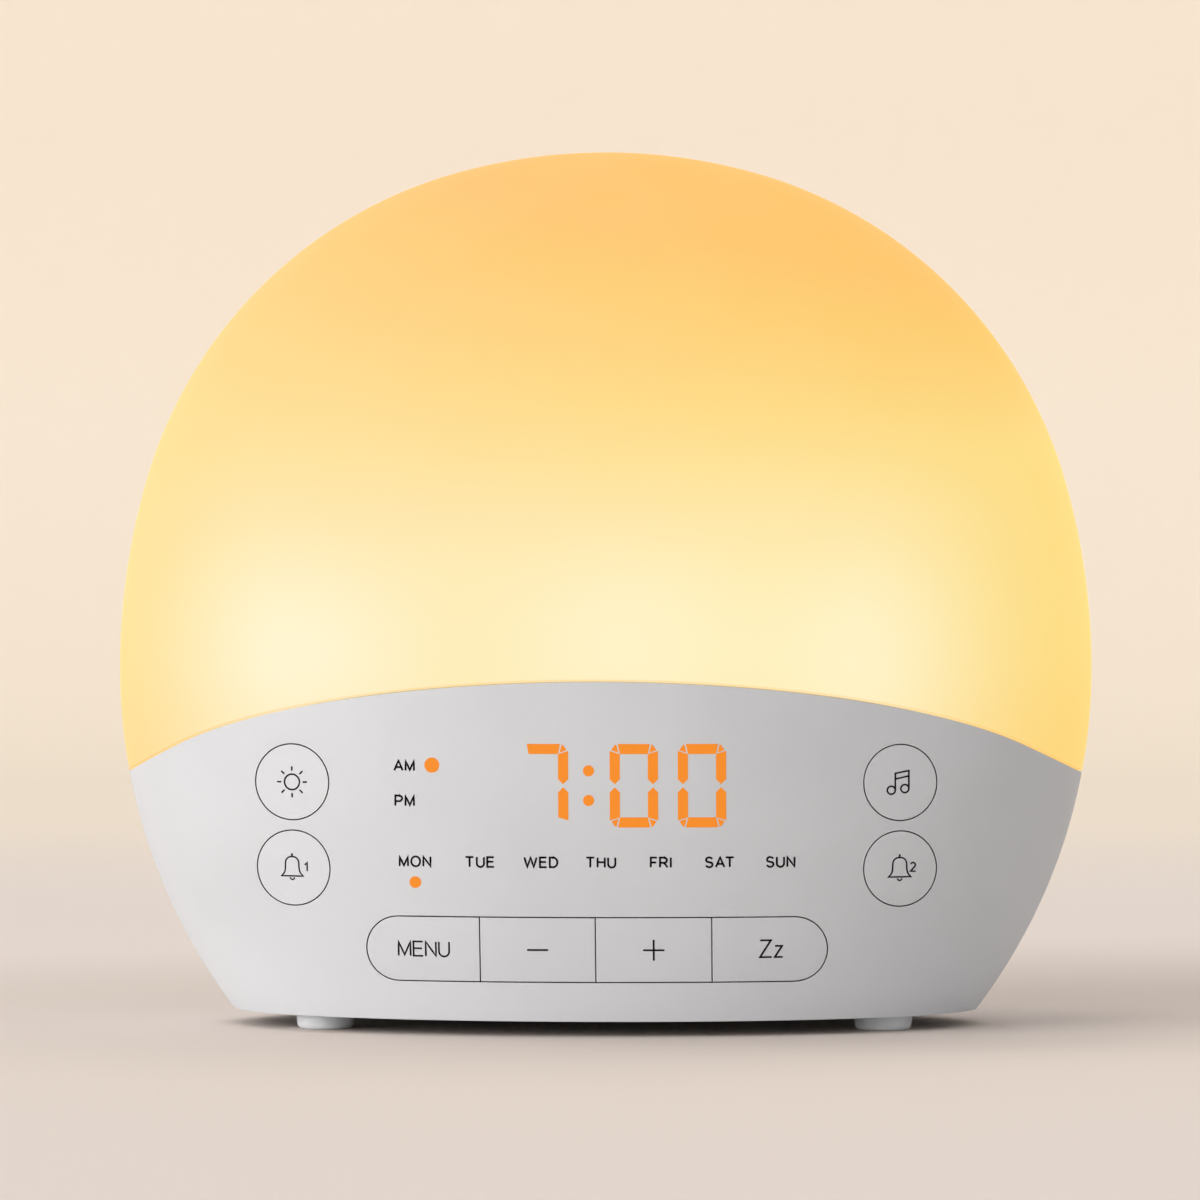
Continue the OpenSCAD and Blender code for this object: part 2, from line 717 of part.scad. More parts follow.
module button(i) color("silver") {
  difference() {
    union() {
      intersection() {
        to_front(0, 20, 0) linear_extrude(body_d) key_outline(i, -key_gap);
        front_skin(0, cap_t);
      }
      intersection() {
        to_front(0, 20, 0) linear_extrude(body_d) key_outline(i, flange);
        front_skin(shell_wall + flange_gap, cap_t);
      }
    }
    intersection() {
      to_front(0, 20, 0) linear_extrude(body_d) key_outline(i, -key_gap - cap_wall);
      front_skin(cap_wall, 2*cap_t);
    }
  }
  intersection() {
    to_front(0, 20, 0) linear_extrude(body_d) intersection() {
      key_outline(i, -key_gap - cap_wall/2);
      translate(KEY_AT[i]) square([2*key_hole_d, rib_t], center = true);
    }
    front_skin(cap_wall/2, cap_t);
  }
  intersection() {
    to_front(KEY_AT[i].x, plunger_tip, stem_z(i)) cylinder(d = stem_d, h = 40);
    front_skin(cap_wall/2, thick);
  }
}

module plunger(i) color("black")
  to_front(KEY_AT[i].x, plunger_end, stem_z(i)) cylinder(d = plunger_d, h = plunger_tip - plunger_end);

module key_switches() color("dimgray")
  for (i = [0:7]) to_front(KEY_AT[i].x, main_y, stem_z(i)) difference() {
    union() {
      translate([-switch_w/2, -switch_w/2, 0]) cube([switch_w, switch_w, switch_h]);
      for (z = LEFT_RIGHT) translate([-switch_w/2 - leg_l, z*switch_w*0.36 - leg_w/2, 0])
        cube([switch_w + 2*leg_l, leg_w, leg_t]);
    }
    translate([0, 0, switch_h - plunger_well]) cylinder(d = plunger_d + 2*plunger_gap, h = 5);
  }

// ---------------------------------------------------------------- boards and display

module block_parts(parts)
  for (part = parts) translate([part[0] - part[2]/2, part[1] - part[3]/2, -part[4]])
    cube([part[2], part[3], part[4] + board_t/2]);

module main_board() color("darkgreen") difference() {
  union() {
    to_front(0, main_y - board_t, 0) linear_extrude(board_t) polygon([
      [-main_w/2, main_high_z], [-main_w/2, 27.5], [-main_w/2 + 15, main_low_z],
      [main_w/2 - 15, main_low_z], [main_w/2, 27.5], [main_w/2, main_high_z]
    ]);
    to_front(0, main_y - board_t, 0) block_parts(MAIN_PARTS);
  }
  main_boss_at() translate([0, 0, -4]) cylinder(d = bore_d, h = 8);
}

module main_board_screws() color("silver") main_boss_at() translate([0, 0, -board_t]) screw(main_screw_l);

module display_board() color("darkgreen") difference() {
  union() {
    to_front(0, display_y - board_t, (display_low_z + display_high_z)/2)
      linear_extrude(board_t) square([display_board_w, display_high_z - display_low_z], center = true);
    to_front(0, display_y - board_t, 0) block_parts(DISPLAY_PARTS);
    to_front(0, display_y, 0) segment_leds();
  }
  display_boss_at() translate([0, 0, -4]) cylinder(d = bore_d, h = 8);
}

module display_board_screws() color("silver") display_boss_at() translate([0, 0, -board_t]) screw(display_screw_l);

// One small lamp on the board under each segment and dot
module segment_leds() {
  across = digit_w - segment_w;
  up = (digit_h - segment_w)/2;
  for (x = digit_xs) translate([x, display_z]) {
    for (level = [-1:1]) translate([0, level*up]) led_block();
    for (side = LEFT_RIGHT) for (level = LEFT_RIGHT) translate([side*across/2, level*up/2]) led_block();
  }
  for (z = LEFT_RIGHT) translate([display_x, display_z + z*colon_pitch/2]) led_block();
}

module led_block() translate([0, 0, led.z/2 - 0.1]) cube([led.y, led.x, led.z + 0.2], center = true);

// One segment lying along x, pointed at both ends
module segment(length, w) polygon([
  [-length/2, 0], [-length/2 + w/2, w/2], [length/2 - w/2, w/2],
  [length/2, 0], [length/2 - w/2, -w/2], [-length/2 + w/2, -w/2]
]);

module digit(shrink = 0) {
  across = digit_w - segment_w;
  up = (digit_h - segment_w)/2;
  for (level = [-1:1]) translate([0, level*up])
    segment(across - segment_gap - 1.4*shrink, segment_w - shrink);
  for (x = LEFT_RIGHT) for (z = LEFT_RIGHT)
    translate([x*across/2, z*up/2]) rotate([0, 0, 90])
      segment(up - segment_gap - 1.4*shrink, segment_w - shrink);
}

module display_marks(shrink = 0) {
  for (x = digit_xs) translate([x, display_z]) digit(shrink);
  for (z = LEFT_RIGHT) translate([display_x, display_z + z*colon_pitch/2]) circle(d = colon_d - shrink);
}

module display_block() color("white") difference() {
  intersection() {
    translate([display_x - block_w/2, -body_d, display_z - block_h/2])
      cube([block_w, body_d - display_y, block_h]);
    front_skin(skin + 2*pipe_gap, thick);
  }
  to_front(0, display_y - 1, 0) linear_extrude(body_d) display_marks();
}

module segment_lenses() color("orange") intersection() {
  to_front(0, display_y + led_room, 0) linear_extrude(body_d) display_marks(hole_gap);
  front_skin(skin + 2*pipe_gap, thick);
}

module light_pipe(width, height, x, z) intersection() {
  union() {
    to_front(x, display_y, z) translate([-width/2, -height/2, 0]) cube([width, height, 1]);
    children();
  }
  front_skin(skin + 2*pipe_gap, thick);
}

module day_light_pipe() color("white")
  light_pipe(6*day_pitch + 3, 3, 0, day_z)
    for (day = [-3:3]) to_front(day*day_pitch, display_y, day_z) cylinder(d = pipe_d, h = 20);

module half_day_light_pipe() color("white")
  light_pipe(3, morning_z - afternoon_z + 3, half_day_x, (morning_z + afternoon_z)/2)
    for (z = [morning_z, afternoon_z]) to_front(half_day_x, display_y, z) cylinder(d = pipe_d, h = 20);

// ---------------------------------------------------------------- speaker

// The speaker's axis, from its flange's rear face into the body
module speaker_axis() to_back(speaker_x, speaker_y, speaker_z) mirror([0, 0, 1]) children();

module rounded_square(w, r) {
  square([w, w - 2*r], center = true);
  square([w - 2*r, w], center = true);
  for (x = LEFT_RIGHT) for (y = LEFT_RIGHT) translate([x*(w/2 - r), y*(w/2 - r)]) circle(r = r);
}

module speaker_frame() color("dimgray") speaker_axis() difference() {
  union() {
    linear_extrude(flange_t) rounded_square(speaker_w, flange_r);
    translate([0, 0, flange_t/2]) cylinder(d1 = basket_d, d2 = basket_low_d, h = basket_h - flange_t/2);
  }
  translate([0, 0, -1]) cylinder(d = basket_d - 2*basket_wall, h = 1 + flange_t);
  translate([0, 0, flange_t - 0.1])
    cylinder(d1 = basket_d - 2*basket_wall, d2 = basket_low_d - 2*basket_wall, h = basket_h - basket_wall - flange_t);
  for (turn = [45:90:315]) rotate([0, 0, turn])
    translate([basket_low_d/4, -basket_window/2, 2*flange_t]) cube([basket_d, basket_window, basket_h - 5]);
  for (x = LEFT_RIGHT) for (y = LEFT_RIGHT)
    translate([x*(speaker_w/2 - 3), y*(speaker_w/2 - 3), -1]) cylinder(d = bore_d, h = 4);
}

// Roll, cone and dust cap of the speaker, drawn from its axis outwards
module speaker_cone() color("black") speaker_axis() rotate_extrude() union() {
  rim = basket_d/2 - basket_wall - cone_gap - roll_r;
  difference() {
    translate([rim, roll_r]) circle(r = roll_r);
    translate([rim, roll_r]) circle(r = roll_r - cone_t);
    translate([rim - 2*roll_r, roll_r]) square(4*roll_r);
  }
  polygon([
    [rim - roll_r + cone_t - 0.05, roll_r/2 + 0.3], [rim - roll_r + 0.15, roll_r/2 + 0.3],
    [cap_r - cone_t, cone_h], [cap_r, cone_h]
  ]);
  intersection() {
    translate([0, cone_h + cap_rise]) difference() {
      circle(r = norm([cap_r - cone_t/2, cap_rise]));
      circle(r = norm([cap_r - cone_t/2, cap_rise]) - cone_t);
    }
    square([cap_r, cone_h]);
  }
}

module speaker_magnet() color("silver") speaker_axis() translate([0, 0, basket_h]) {
  cylinder(d = magnet_d, h = magnet_h);
  cylinder(d = magnet_d - 3, h = magnet_h + 1.2);
}

module speaker_screws() color("silver") speaker_corners() translate([0, 0, -flange_t]) screw(speaker_screw_l);

// ---------------------------------------------------------------- power

module power_board() color("darkgreen") difference() {
  translate([power_board_x[0], power_board_y[0], power_board_z]) {
    cube([power_board_x[1] - power_board_x[0], power_board_y[1] - power_board_y[0], board_t]);
    translate([8, 16, board_t/2]) cylinder(d = capacitor_d, h = board_t/2 + capacitor_h);
    translate([0, 0, board_t]) mirror([0, 0, 1]) block_parts(POWER_PARTS);
  }
  power_screw_at() translate([0, 0, -2]) cylinder(d = bore_d, h = 6);
}

module power_screw_at() for (x = [power_board_x[0] + 3, power_board_x[1] - 3])
  for (y = [power_board_y[0] + 4, power_board_y[0] + 28])
  translate([x, y, power_board_z]) children();

module power_board_screws() color("silver")
  power_screw_at() translate([0, 0, board_t]) mirror([0, 0, 1]) screw(power_screw_l);

module power_inlet() color("black") difference() {
  union() {
    translate([inlet_x - inlet_body.x/2, bay_y - bay_floor - inlet_body.y, power_board_z + board_t])
      cube(inlet_body);
    to_back(inlet_x, bay_y - bay_floor - 1, inlet_z) cylinder(d = nose_d, h = bay_floor + 1);
  }
  to_back(inlet_x, bay_y - inlet_depth, inlet_z) cylinder(d = inlet_bore, h = 20);
  to_back(inlet_x, bay_y - inlet_depth - 2, inlet_z) cylinder(d = pin_d + 0.1, h = 20);
}

module inlet_pin() color("silver")
  to_back(inlet_x, bay_y - inlet_depth - 2, inlet_z) cylinder(d = pin_d, h = inlet_depth + 1.4);

diffuser_dome();
reflector_tray();
front_fascia();
rear_shell();
base_plate();
for (i = [0:3]) foot(i);
lamp_board();
lamp_chips();
lamp_screws();
dome_screws();
base_screws();
main_board();
main_board_screws();
key_switches();
display_board();
display_board_screws();
display_block();
segment_lenses();
day_light_pipe();
half_day_light_pipe();
for (i = [0:7]) button(i);
for (i = [0:7]) plunger(i);
speaker_frame();
speaker_cone();
speaker_magnet();
speaker_screws();
power_board();
power_board_screws();
power_inlet();
inlet_pin();
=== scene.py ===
"""Looks of a sunrise alarm clock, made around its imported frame. Lengths are in metres."""

import math

import bpy
from bpy.props import FloatProperty, FloatVectorProperty, PointerProperty
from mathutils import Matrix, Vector
from mathutils.geometry import delaunay_2d_cdt


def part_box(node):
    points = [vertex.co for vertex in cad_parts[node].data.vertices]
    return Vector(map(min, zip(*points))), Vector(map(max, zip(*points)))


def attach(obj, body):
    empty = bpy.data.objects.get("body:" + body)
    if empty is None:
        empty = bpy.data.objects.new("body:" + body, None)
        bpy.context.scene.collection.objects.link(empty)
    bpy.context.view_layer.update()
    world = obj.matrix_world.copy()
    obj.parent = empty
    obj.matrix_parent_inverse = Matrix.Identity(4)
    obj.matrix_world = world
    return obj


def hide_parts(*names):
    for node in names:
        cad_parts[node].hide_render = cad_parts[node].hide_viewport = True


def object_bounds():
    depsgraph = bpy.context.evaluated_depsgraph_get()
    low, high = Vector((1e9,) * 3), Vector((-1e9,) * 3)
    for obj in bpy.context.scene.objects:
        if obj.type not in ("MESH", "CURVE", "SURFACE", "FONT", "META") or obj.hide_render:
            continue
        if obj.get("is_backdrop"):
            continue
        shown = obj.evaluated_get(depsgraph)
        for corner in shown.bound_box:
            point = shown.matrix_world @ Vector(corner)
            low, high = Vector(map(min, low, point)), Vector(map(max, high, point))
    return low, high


bl_info = {
    "name": "Sunrise alarm clock",
    "version": (1, 0, 0),
    "blender": (4, 5, 0),
    "location": "3D View > Sidebar > Clock",
    "description": "Adds the dome, shells, keys, display and stage of a sunrise alarm clock",
    "category": "Object",
}

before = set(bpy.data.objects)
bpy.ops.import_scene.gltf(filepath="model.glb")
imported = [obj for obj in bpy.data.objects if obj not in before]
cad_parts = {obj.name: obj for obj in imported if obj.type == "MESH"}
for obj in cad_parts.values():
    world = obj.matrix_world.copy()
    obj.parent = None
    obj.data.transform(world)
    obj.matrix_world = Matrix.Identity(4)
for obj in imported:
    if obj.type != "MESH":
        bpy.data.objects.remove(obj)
cad_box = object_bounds()
HOUSING = "housing"
DOME_LOW, DOME_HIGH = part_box("diffuser_dome")
KEY_NAMES = ("brightness", "alarm_1", "sound", "alarm_2", "menu", "minus", "plus", "snooze")


# -------- settings

def length(name, description, default, low=0.0, high=1.0):
    return FloatProperty(name=name, description=description, default=default, min=low, max=high,
                         precision=5, subtype="DISTANCE", unit="LENGTH")


def colour(name, description, default):
    return FloatVectorProperty(name=name, description=description, default=default, size=3,
                               min=0.0, max=1.0, subtype="COLOR")


class ClockSizes(bpy.types.PropertyGroup):
    """Sizes of the clock's outer form."""

    body_w: length("Body width", "Width at the widest level", DOME_HIGH.x - DOME_LOW.x)
    body_d: length("Body depth", "Depth at the widest level", DOME_HIGH.y - DOME_LOW.y)
    top_z: length("Top", "Height of the dome's top", DOME_HIGH.z)
    widest_z: length("Widest level", "Height of the widest level", 0.073)
    shoulder_r: length("Shoulder radius", "Radius of the dome's shoulder", 0.092)
    under_r: length("Lower radius", "Radius of the side below the widest level", 0.1155)
    base_z: length("Lower edge", "Height of the shells' lower edge", 0.003)
    split_z: length("Split height", "Height of the split line at the sides", 0.0517)
    split_r: length("Split radius", "Radius of the split line's trough", 0.076)
    seam: length("Seam", "Gap along every split line", 0.0003)
    wall: length("Wall", "Thickness of the shells", 0.002)
    edge: length("Edge radius", "Rounding along the shells' edges", 0.0002)
    key_hole_d: length("Round key opening", "Diameter of a round key's opening", 0.0154)
    key_gap: length("Key gap", "Gap around every key", 0.00022)
    groove: length("Groove depth", "Depth of the gap around every key", 0.00015)
    key_x: length("Key column", "Distance of the round keys from the middle", 0.0605)
    bar_shift: length("Bar shift", "How far the key bar sits to the left of the middle", 0.0002)
    key_shift: length("Key shift", "How far the round keys sit to the left of the middle", 0.00036)
    key_squash: FloatProperty(name="Key squash", default=0.96, min=0.5, max=1.0,
                              description="Width of the right round keys over their height")
    key_high_z: length("Upper keys", "Height of the upper round keys", 0.0507)
    key_low_z: length("Lower keys", "Height of the lower round keys", 0.03345)
    bar_w: length("Bar width", "Width of the key bar's opening", 0.092)
    bar_h: length("Bar height", "Height of the key bar's opening", 0.0133)
    bar_z: length("Bar level", "Height of the key bar's middle", 0.0176)


class ClockColours(bpy.types.PropertyGroup):
    """Colours of the clock's finishes."""

    shell: colour("Shell", "Pale plastic of the shells and keys", (0.635, 0.63, 0.64))
    ink: colour("Ink", "Printed words", (0.012, 0.012, 0.013))
    grey_ink: colour("Grey ink", "Signs on the keys", (0.05, 0.05, 0.052))
    amber: colour("Amber", "Lit digits and lights", (0.93, 0.27, 0.02))
    base: colour("Base", "Underside of the clock", (0.38, 0.38, 0.385))
    foot: colour("Feet", "Rubber feet", (0.70, 0.70, 0.705))
    floor: colour("Floor", "Floor of the stage", (0.889, 0.783, 0.713))
    backdrop: colour("Backdrop", "Backdrop of the stage", (1.0, 0.865, 0.70))
    backdrop_high: colour("High backdrop", "Upper part of the backdrop", (0.955, 0.80, 0.638))


def sizes():
    return bpy.context.scene.clock_sizes


def colour_of(name):
    """A colour from the settings, as a plain tuple."""
    return tuple(getattr(bpy.context.scene.clock_colours, name))


# -------- the body's surface

class Body:
    """The outer surface: an outline of arcs, turned about Z and flattened front to back."""

    SIDE = (0.96, 0.28)
    TOP = (0.28, 0.96)
    SPLIT_SLOPE = 23.5

    def __init__(self):
        s = sizes()
        self.half = s.body_w/2
        self.flat = s.body_d/s.body_w
        self.widest = s.widest_z
        self.rise = s.top_z - s.widest_z
        self.under_r = s.under_r
        self.shoulder_r = s.shoulder_r
        self.split_z, self.split_r = s.split_z, s.split_r
        side, top = self.SIDE, self.TOP
        run = self.half - s.shoulder_r*(side[0] - top[0])
        rise = self.rise - s.shoulder_r*(top[1] - side[1])
        det = (1 - side[0])*(1 - top[1]) - top[0]*side[1]
        self.side_r = (run*(1 - top[1]) - rise*top[0])/det
        self.top_r = ((1 - side[0])*rise - side[1]*run)/det
        self.side_x = self.half - self.side_r
        self.top_y = self.rise - self.top_r
        reach = self.side_r - s.shoulder_r
        self.shoulder = (self.side_x + reach*side[0], reach*side[1])
        self.side_end = self.side_r*side[1]
        self.shoulder_end = self.shoulder[1] + s.shoulder_r*top[1]

    def half_width(self, z):
        h = z - self.widest
        if h <= 0:
            return self.half - self.under_r + math.sqrt(self.under_r**2 - h*h)
        if h <= self.side_end:
            return self.side_x + math.sqrt(self.side_r**2 - h*h)
        if h <= self.shoulder_end:
            h -= self.shoulder[1]
            return self.shoulder[0] + math.sqrt(self.shoulder_r**2 - h*h)
        return math.sqrt(max(self.top_r**2 - (h - self.top_y)**2, 0))

    def normal(self, x, y, z):
        step = 1e-5
        if z > self.widest + self.rise - step:
            return Vector((0, 0, 1))
        wide = self.half_width(z)
        slope = (self.half_width(z + step) - self.half_width(z - step))/(2*step)
        return Vector((x, y/self.flat**2, -wide*slope)).normalized()

    def at_angle(self, turn, z):
        """Point at an angle from the front's middle, positive towards +X."""
        wide = self.half_width(z)
        return Vector((wide*math.sin(turn), -self.flat*wide*math.cos(turn), z))

    def front(self, x, z):
        wide = self.half_width(z)
        return Vector((x, -self.flat*math.sqrt(max(wide*wide - x*x, 0)), z))

    def trough(self, y):
        """Height of the split line at a distance y in front of or behind the middle."""
        slope = math.radians(self.SPLIT_SLOPE)
        near = min(y, self.split_r*math.sin(slope))
        low = self.split_z + self.split_r - math.sqrt(self.split_r**2 - near**2)
        return low + (y - near)*math.tan(slope)

    def split(self, turn, shift=0.0):
        """Height of the split line at an angle, and at a shift above it."""
        z, rounds = self.split_z, 12
        for _ in range(rounds):
            z = self.trough(abs(self.flat*self.half_width(z)*math.cos(turn))) + shift
        return z


# -------- meshes

def corner(one, two):
    """The left side of a turn between two directions, and its cosine to the first one's own left."""
    square = Vector((-one.y, one.x))
    left = Vector((-one.y - two.y, one.x + two.x))
    left = (square if left.length < 1e-6 else left).normalized()
    return left, left.dot(square)


def moved_in(loop, by):
    """A closed loop of points, run with its solid on the left, moved into the solid."""
    out = []
    for before, here, after in zip(loop[-1:] + loop[:-1], loop, loop[1:] + loop[:1]):
        left, lean = corner((here - before).normalized(), (after - here).normalized())
        out.append(here + left*(by/max(lean, 0.5)))
    return out


def circle(x, z, r, count, backwards=False, squash=1.0):
    turn = (-2 if backwards else 2)*math.pi
    return [Vector((x + r*squash*math.cos(turn*i/count), z + r*math.sin(turn*i/count)))
            for i in range(count)]


def arc(x, y, rx, ry, start, end, count=14):
    return [(x + rx*math.cos(math.radians(start + (end - start)*i/count)),
             y + ry*math.sin(math.radians(start + (end - start)*i/count))) for i in range(count + 1)]


def along(points, step, closed=False):
    """A polyline with points added so that no stretch is longer than step."""
    points = [Vector(p) for p in points]
    out = []
    for a, b in zip(points, points[1:] + points[:1] if closed else points[1:]):
        parts = max(1, math.ceil((b - a).length/step))
        out += [a.lerp(b, k/parts) for k in range(parts)]
    return out if closed else out + points[-1:]


class Region:
    """The inside of a closed loop, with the box around it."""

    def __init__(self, loop):
        self.sides = list(zip(loop, loop[-1:] + loop[:-1]))
        self.low = Vector((min(p.x for p in loop), min(p.y for p in loop)))
        self.high = Vector((max(p.x for p in loop), max(p.y for p in loop)))

    def __contains__(self, point):
        x, y = point
        if not (self.low.x < x < self.high.x and self.low.y < y < self.high.y):
            return False
        hit = False
        for here, other in self.sides:
            if (here.y > y) != (other.y > y):
                if x < (other.x - here.x)*(y - here.y)/(other.y - here.y) + here.x:
                    hit = not hit
        return hit


def linked(name, data):
    """A new object in the scene."""
    obj = bpy.data.objects.new(name, data)
    bpy.context.scene.collection.objects.link(obj)
    return obj


def smooth_mesh(name, points, faces, finish):
    mesh = bpy.data.meshes.new(name)
    mesh.from_pydata([tuple(p) for p in points], [], faces)
    mesh.polygons.foreach_set("use_smooth", [True]*len(mesh.polygons))
    mesh.update()
    mesh.materials.append(finish)
    return mesh


class Part:
    """Gathers the points and faces of one mesh."""

    def __init__(self):
        self.points, self.normals, self.faces = [], [], []

    def add(self, point, normal):
        self.points.append(point)
        self.normals.append(normal)
        return len(self.points) - 1

    def strip(self, one, two):
        """Quads between two closed rows of point numbers."""
        self.faces += zip(one, one[1:] + one[:1], two[1:] + two[:1], two)

    def rows(self, rows, flip=False):
        """Joins closed rings of (point, normal) pairs with quads and gives their point numbers."""
        numbers = [[self.add(p, n) for p, n in row] for row in rows]
        for one, two in zip(numbers, numbers[1:]):
            self.strip(*((two, one) if flip else (one, two)))
        return numbers

    def caps(self, numbers):
        """Closes the first and the last of some joined rings."""
        self.faces += [tuple(reversed(numbers[0])), tuple(numbers[-1])]

    def fan(self, row, point, normal):
        """Triangles from a closed row to one point."""
        tip = self.add(point, normal)
        self.faces += [(a, b, tip) for a, b in zip(row, row[1:] + row[:1])]

    def sheet(self, place, outline, holes=(), *, depth, edge, step, lift=0.0):
        """A thick sheet on a surface, rounded at its outline and holes.

        place(u, v, sink, straight) gives a point and its normal. The outline runs
        counter-clockwise and the holes clockwise. A hole's walls run straight in.
        """
        loops = [outline, *holes]
        rims = [moved_in(loop, edge) for loop in loops]
        flat, edges, rows = [], [], []
        for rim in rims:
            row = list(range(len(flat), len(flat) + len(rim)))
            edges += zip(row, row[1:] + row[:1])
            flat += rim
            rows.append(row)
        room, *gaps = (Region(moved_in(loop, edge + 0.35*step)) for loop in loops)
        low, high = Region(outline).low, Region(outline).high
        columns, lines = (max(1, round((high[k] - low[k])/step)) for k in (0, 1))
        for i in range(1, columns):
            for j in range(1, lines):
                p = Vector((low.x + (high.x - low.x)*i/columns, low.y + (high.y - low.y)*j/lines))
                if p in room and not any(p in gap for gap in gaps):
                    flat.append(p)
        verts, _, tris, *_ = delaunay_2d_cdt(flat, edges, [], 1, 1e-9)
        if len(verts) != len(flat):
            raise RuntimeError("a sheet's outline crosses itself")
        top, under = [], []
        for p in verts:
            top.append(self.add(*place(*p, -lift, False)))
            point, normal = place(*p, depth - lift, False)
            under.append(self.add(point, -normal))
        room, *gaps = (Region(rim) for rim in rims)
        for tri in tris:
            middle = (verts[tri[0]] + verts[tri[1]] + verts[tri[2]])/3
            if middle in room and not any(middle in gap for gap in gaps):
                self.faces.append(tuple(top[i] for i in tri))
                self.faces.append(tuple(under[i] for i in reversed(tri)))
        turns = 3
        for loop, rim, row in zip(loops, rims, rows):
            straight = loop is not outline
            last = [top[i] for i in row]
            for k in range(1, turns + 1):
                angle = math.pi/2*k/turns
                line = []
                for here, inner in zip(loop, rim):
                    p = inner.lerp(here, math.sin(angle))
                    point, normal = place(*p, edge*(1 - math.cos(angle)) - lift, straight)
                    out = place(*here, 0, straight)[0] - place(*inner, 0, straight)[0]
                    lean = normal*math.cos(angle) + out.normalized()*math.sin(angle)
                    line.append(self.add(point, lean.normalized()))
                self.strip(line, last)
                last = line
            line = [self.add(place(*here, depth - lift, straight)[0], self.normals[number])
                    for here, number in zip(loop, last)]
            self.strip(line, last)
            self.strip([under[i] for i in row], line)

    def make(self, name, finish, slot, body=HOUSING, replaces=()):
        mesh = smooth_mesh(name, self.points, self.faces, finish)
        mesh.normals_split_custom_set_from_vertices([tuple(n) for n in self.normals])
        obj = linked(name, mesh)
        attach(obj, body)
        if replaces:
            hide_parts(*replaces)


# -------- finishes

def arithmetic(operation):
    """The plain and the reflected form of an operator that adds a Math node."""
    return (lambda self, other: self.math(operation, self, other),
            lambda self, other: self.math(operation, other, self))


class Value:
    """A number that varies over a surface. Arithmetic on it adds Math nodes."""

    __add__, __radd__ = arithmetic("ADD")
    __sub__, __rsub__ = arithmetic("SUBTRACT")
    __mul__, __rmul__ = arithmetic("MULTIPLY")
    __truediv__, __rtruediv__ = arithmetic("DIVIDE")
    __pow__, __rpow__ = arithmetic("POWER")

    def __init__(self, finish, socket):
        self.finish, self.socket = finish, socket

    def math(self, operation, *terms):
        return self.finish.node("ShaderNodeMath", {"operation": operation}, *terms)

    def size(self):
        return self.math("ABSOLUTE", self)

    def least(self, other):
        return self.math("MINIMUM", self, other)

    def step(self, low, high):
        """0 below low, 1 above high, smooth between."""
        smooth = {"interpolation_type": "SMOOTHSTEP", "clamp": True}
        return self.finish.node("ShaderNodeMapRange", smooth, self, low, high, 0.0, 1.0)


def distance(across, up):
    """Distance from the middle of an ellipse, 1 at its edge."""
    return (across**2 + up**2)**0.5


class Finish:
    """A material under construction."""

    def __init__(self, name, world=None):
        self.material = world or bpy.data.materials.new(name)
        self.material.use_nodes = True
        self.tree = self.material.node_tree
        self.tree.nodes.clear()
        self.output = self.tree.nodes.new("ShaderNodeOutput" + ("World" if world else "Material"))

    def feed(self, socket, value):
        if isinstance(value, Value):
            self.tree.links.new(value.socket, socket)
        elif socket.type == "RGBA":
            socket.default_value = (*value, 1.0)
        else:
            socket.default_value = value

    def node(self, kind, settings=None, *inputs, out=0, **named):
        """Adds a node with its settings, then feeds its sockets in order and by name."""
        node = self.tree.nodes.new(kind)
        for key, value in (settings or {}).items():
            if key == "stops":
                ramp = node.color_ramp
                while len(ramp.elements) < len(value):
                    ramp.elements.new(0.5)
                for element, (place, shade) in zip(ramp.elements, value):
                    element.position = place
                    element.color = (*shade, 1.0)
            else:
                setattr(node, key, value)
        for socket, value in zip(node.inputs, inputs):
            self.feed(socket, value)
        for key, value in named.items():
            self.feed(node.inputs[key.replace("_", " ")], value)
        return Value(self, node.outputs[out])

    def place(self):
        """The surface point in the clock's own frame."""
        return self.node("ShaderNodeTexCoord", out="Object")

    def xyz(self):
        node = self.node("ShaderNodeSeparateXYZ", None, self.place()).socket.node
        return [Value(self, socket) for socket in node.outputs]

    def noise(self, scale, detail=3.0, rough=0.5):
        return self.node("ShaderNodeTexNoise", {"noise_dimensions": "3D"}, Vector=self.place(),
                         Scale=scale, Detail=detail, Roughness=rough)

    def mix(self, factor, one, two, blend="MIX"):
        node = self.tree.nodes.new("ShaderNodeMix")
        node.data_type, node.blend_type = "RGBA", blend
        self.feed(node.inputs[0], factor)
        self.feed(node.inputs[6], one)
        self.feed(node.inputs[7], two)
        return Value(self, node.outputs[2])

    def bump(self, height, strength, distance):
        return self.node("ShaderNodeBump", None, Strength=strength, Distance=distance, Height=height)

    def end(self, kind, **inputs):
        """Ends the material in a shader."""
        self.tree.links.new(self.node(kind, **inputs).socket, self.output.inputs[0])
        return self.material

    def plastic(self, **inputs):
        return self.end("ShaderNodeBsdfPrincipled", **inputs)


def tint(shade, by):
    return tuple(min(max(c*by, 0.0), 1.0) for c in shade)


def moulded(name, shade, grain=2600.0, relief=0.10, rough=0.5, spread=0.05, painted_floor_bounce=0.0):
    """Moulded plastic: a fine spark texture and slight clouds of tone and gloss; where asked, painted
    paler low down for the light the floor throws back.
    """
    f = Finish(name)
    grain_noise = f.noise(grain, 2.0)
    clouds = f.noise(28.0, 3.0)
    shade_now = f.mix(clouds.step(0.3, 0.7), tint(shade, 1 - spread/2), tint(shade, 1 + spread/2))
    # painted light: paler towards the floor, standing in for the light the floor throws back
    if painted_floor_bounce:
        _, _, z = f.xyz()
        shade_now = f.mix(1 - z.step(0.0, 0.030), shade_now, tint(shade, 1 + painted_floor_bounce))
    gloss = rough + (clouds - 0.5)*0.08 + (grain_noise - 0.5)*0.06
    return f.plastic(Base_Color=shade_now, Roughness=gloss,
                     Normal=f.bump(grain_noise, relief, 0.00006))


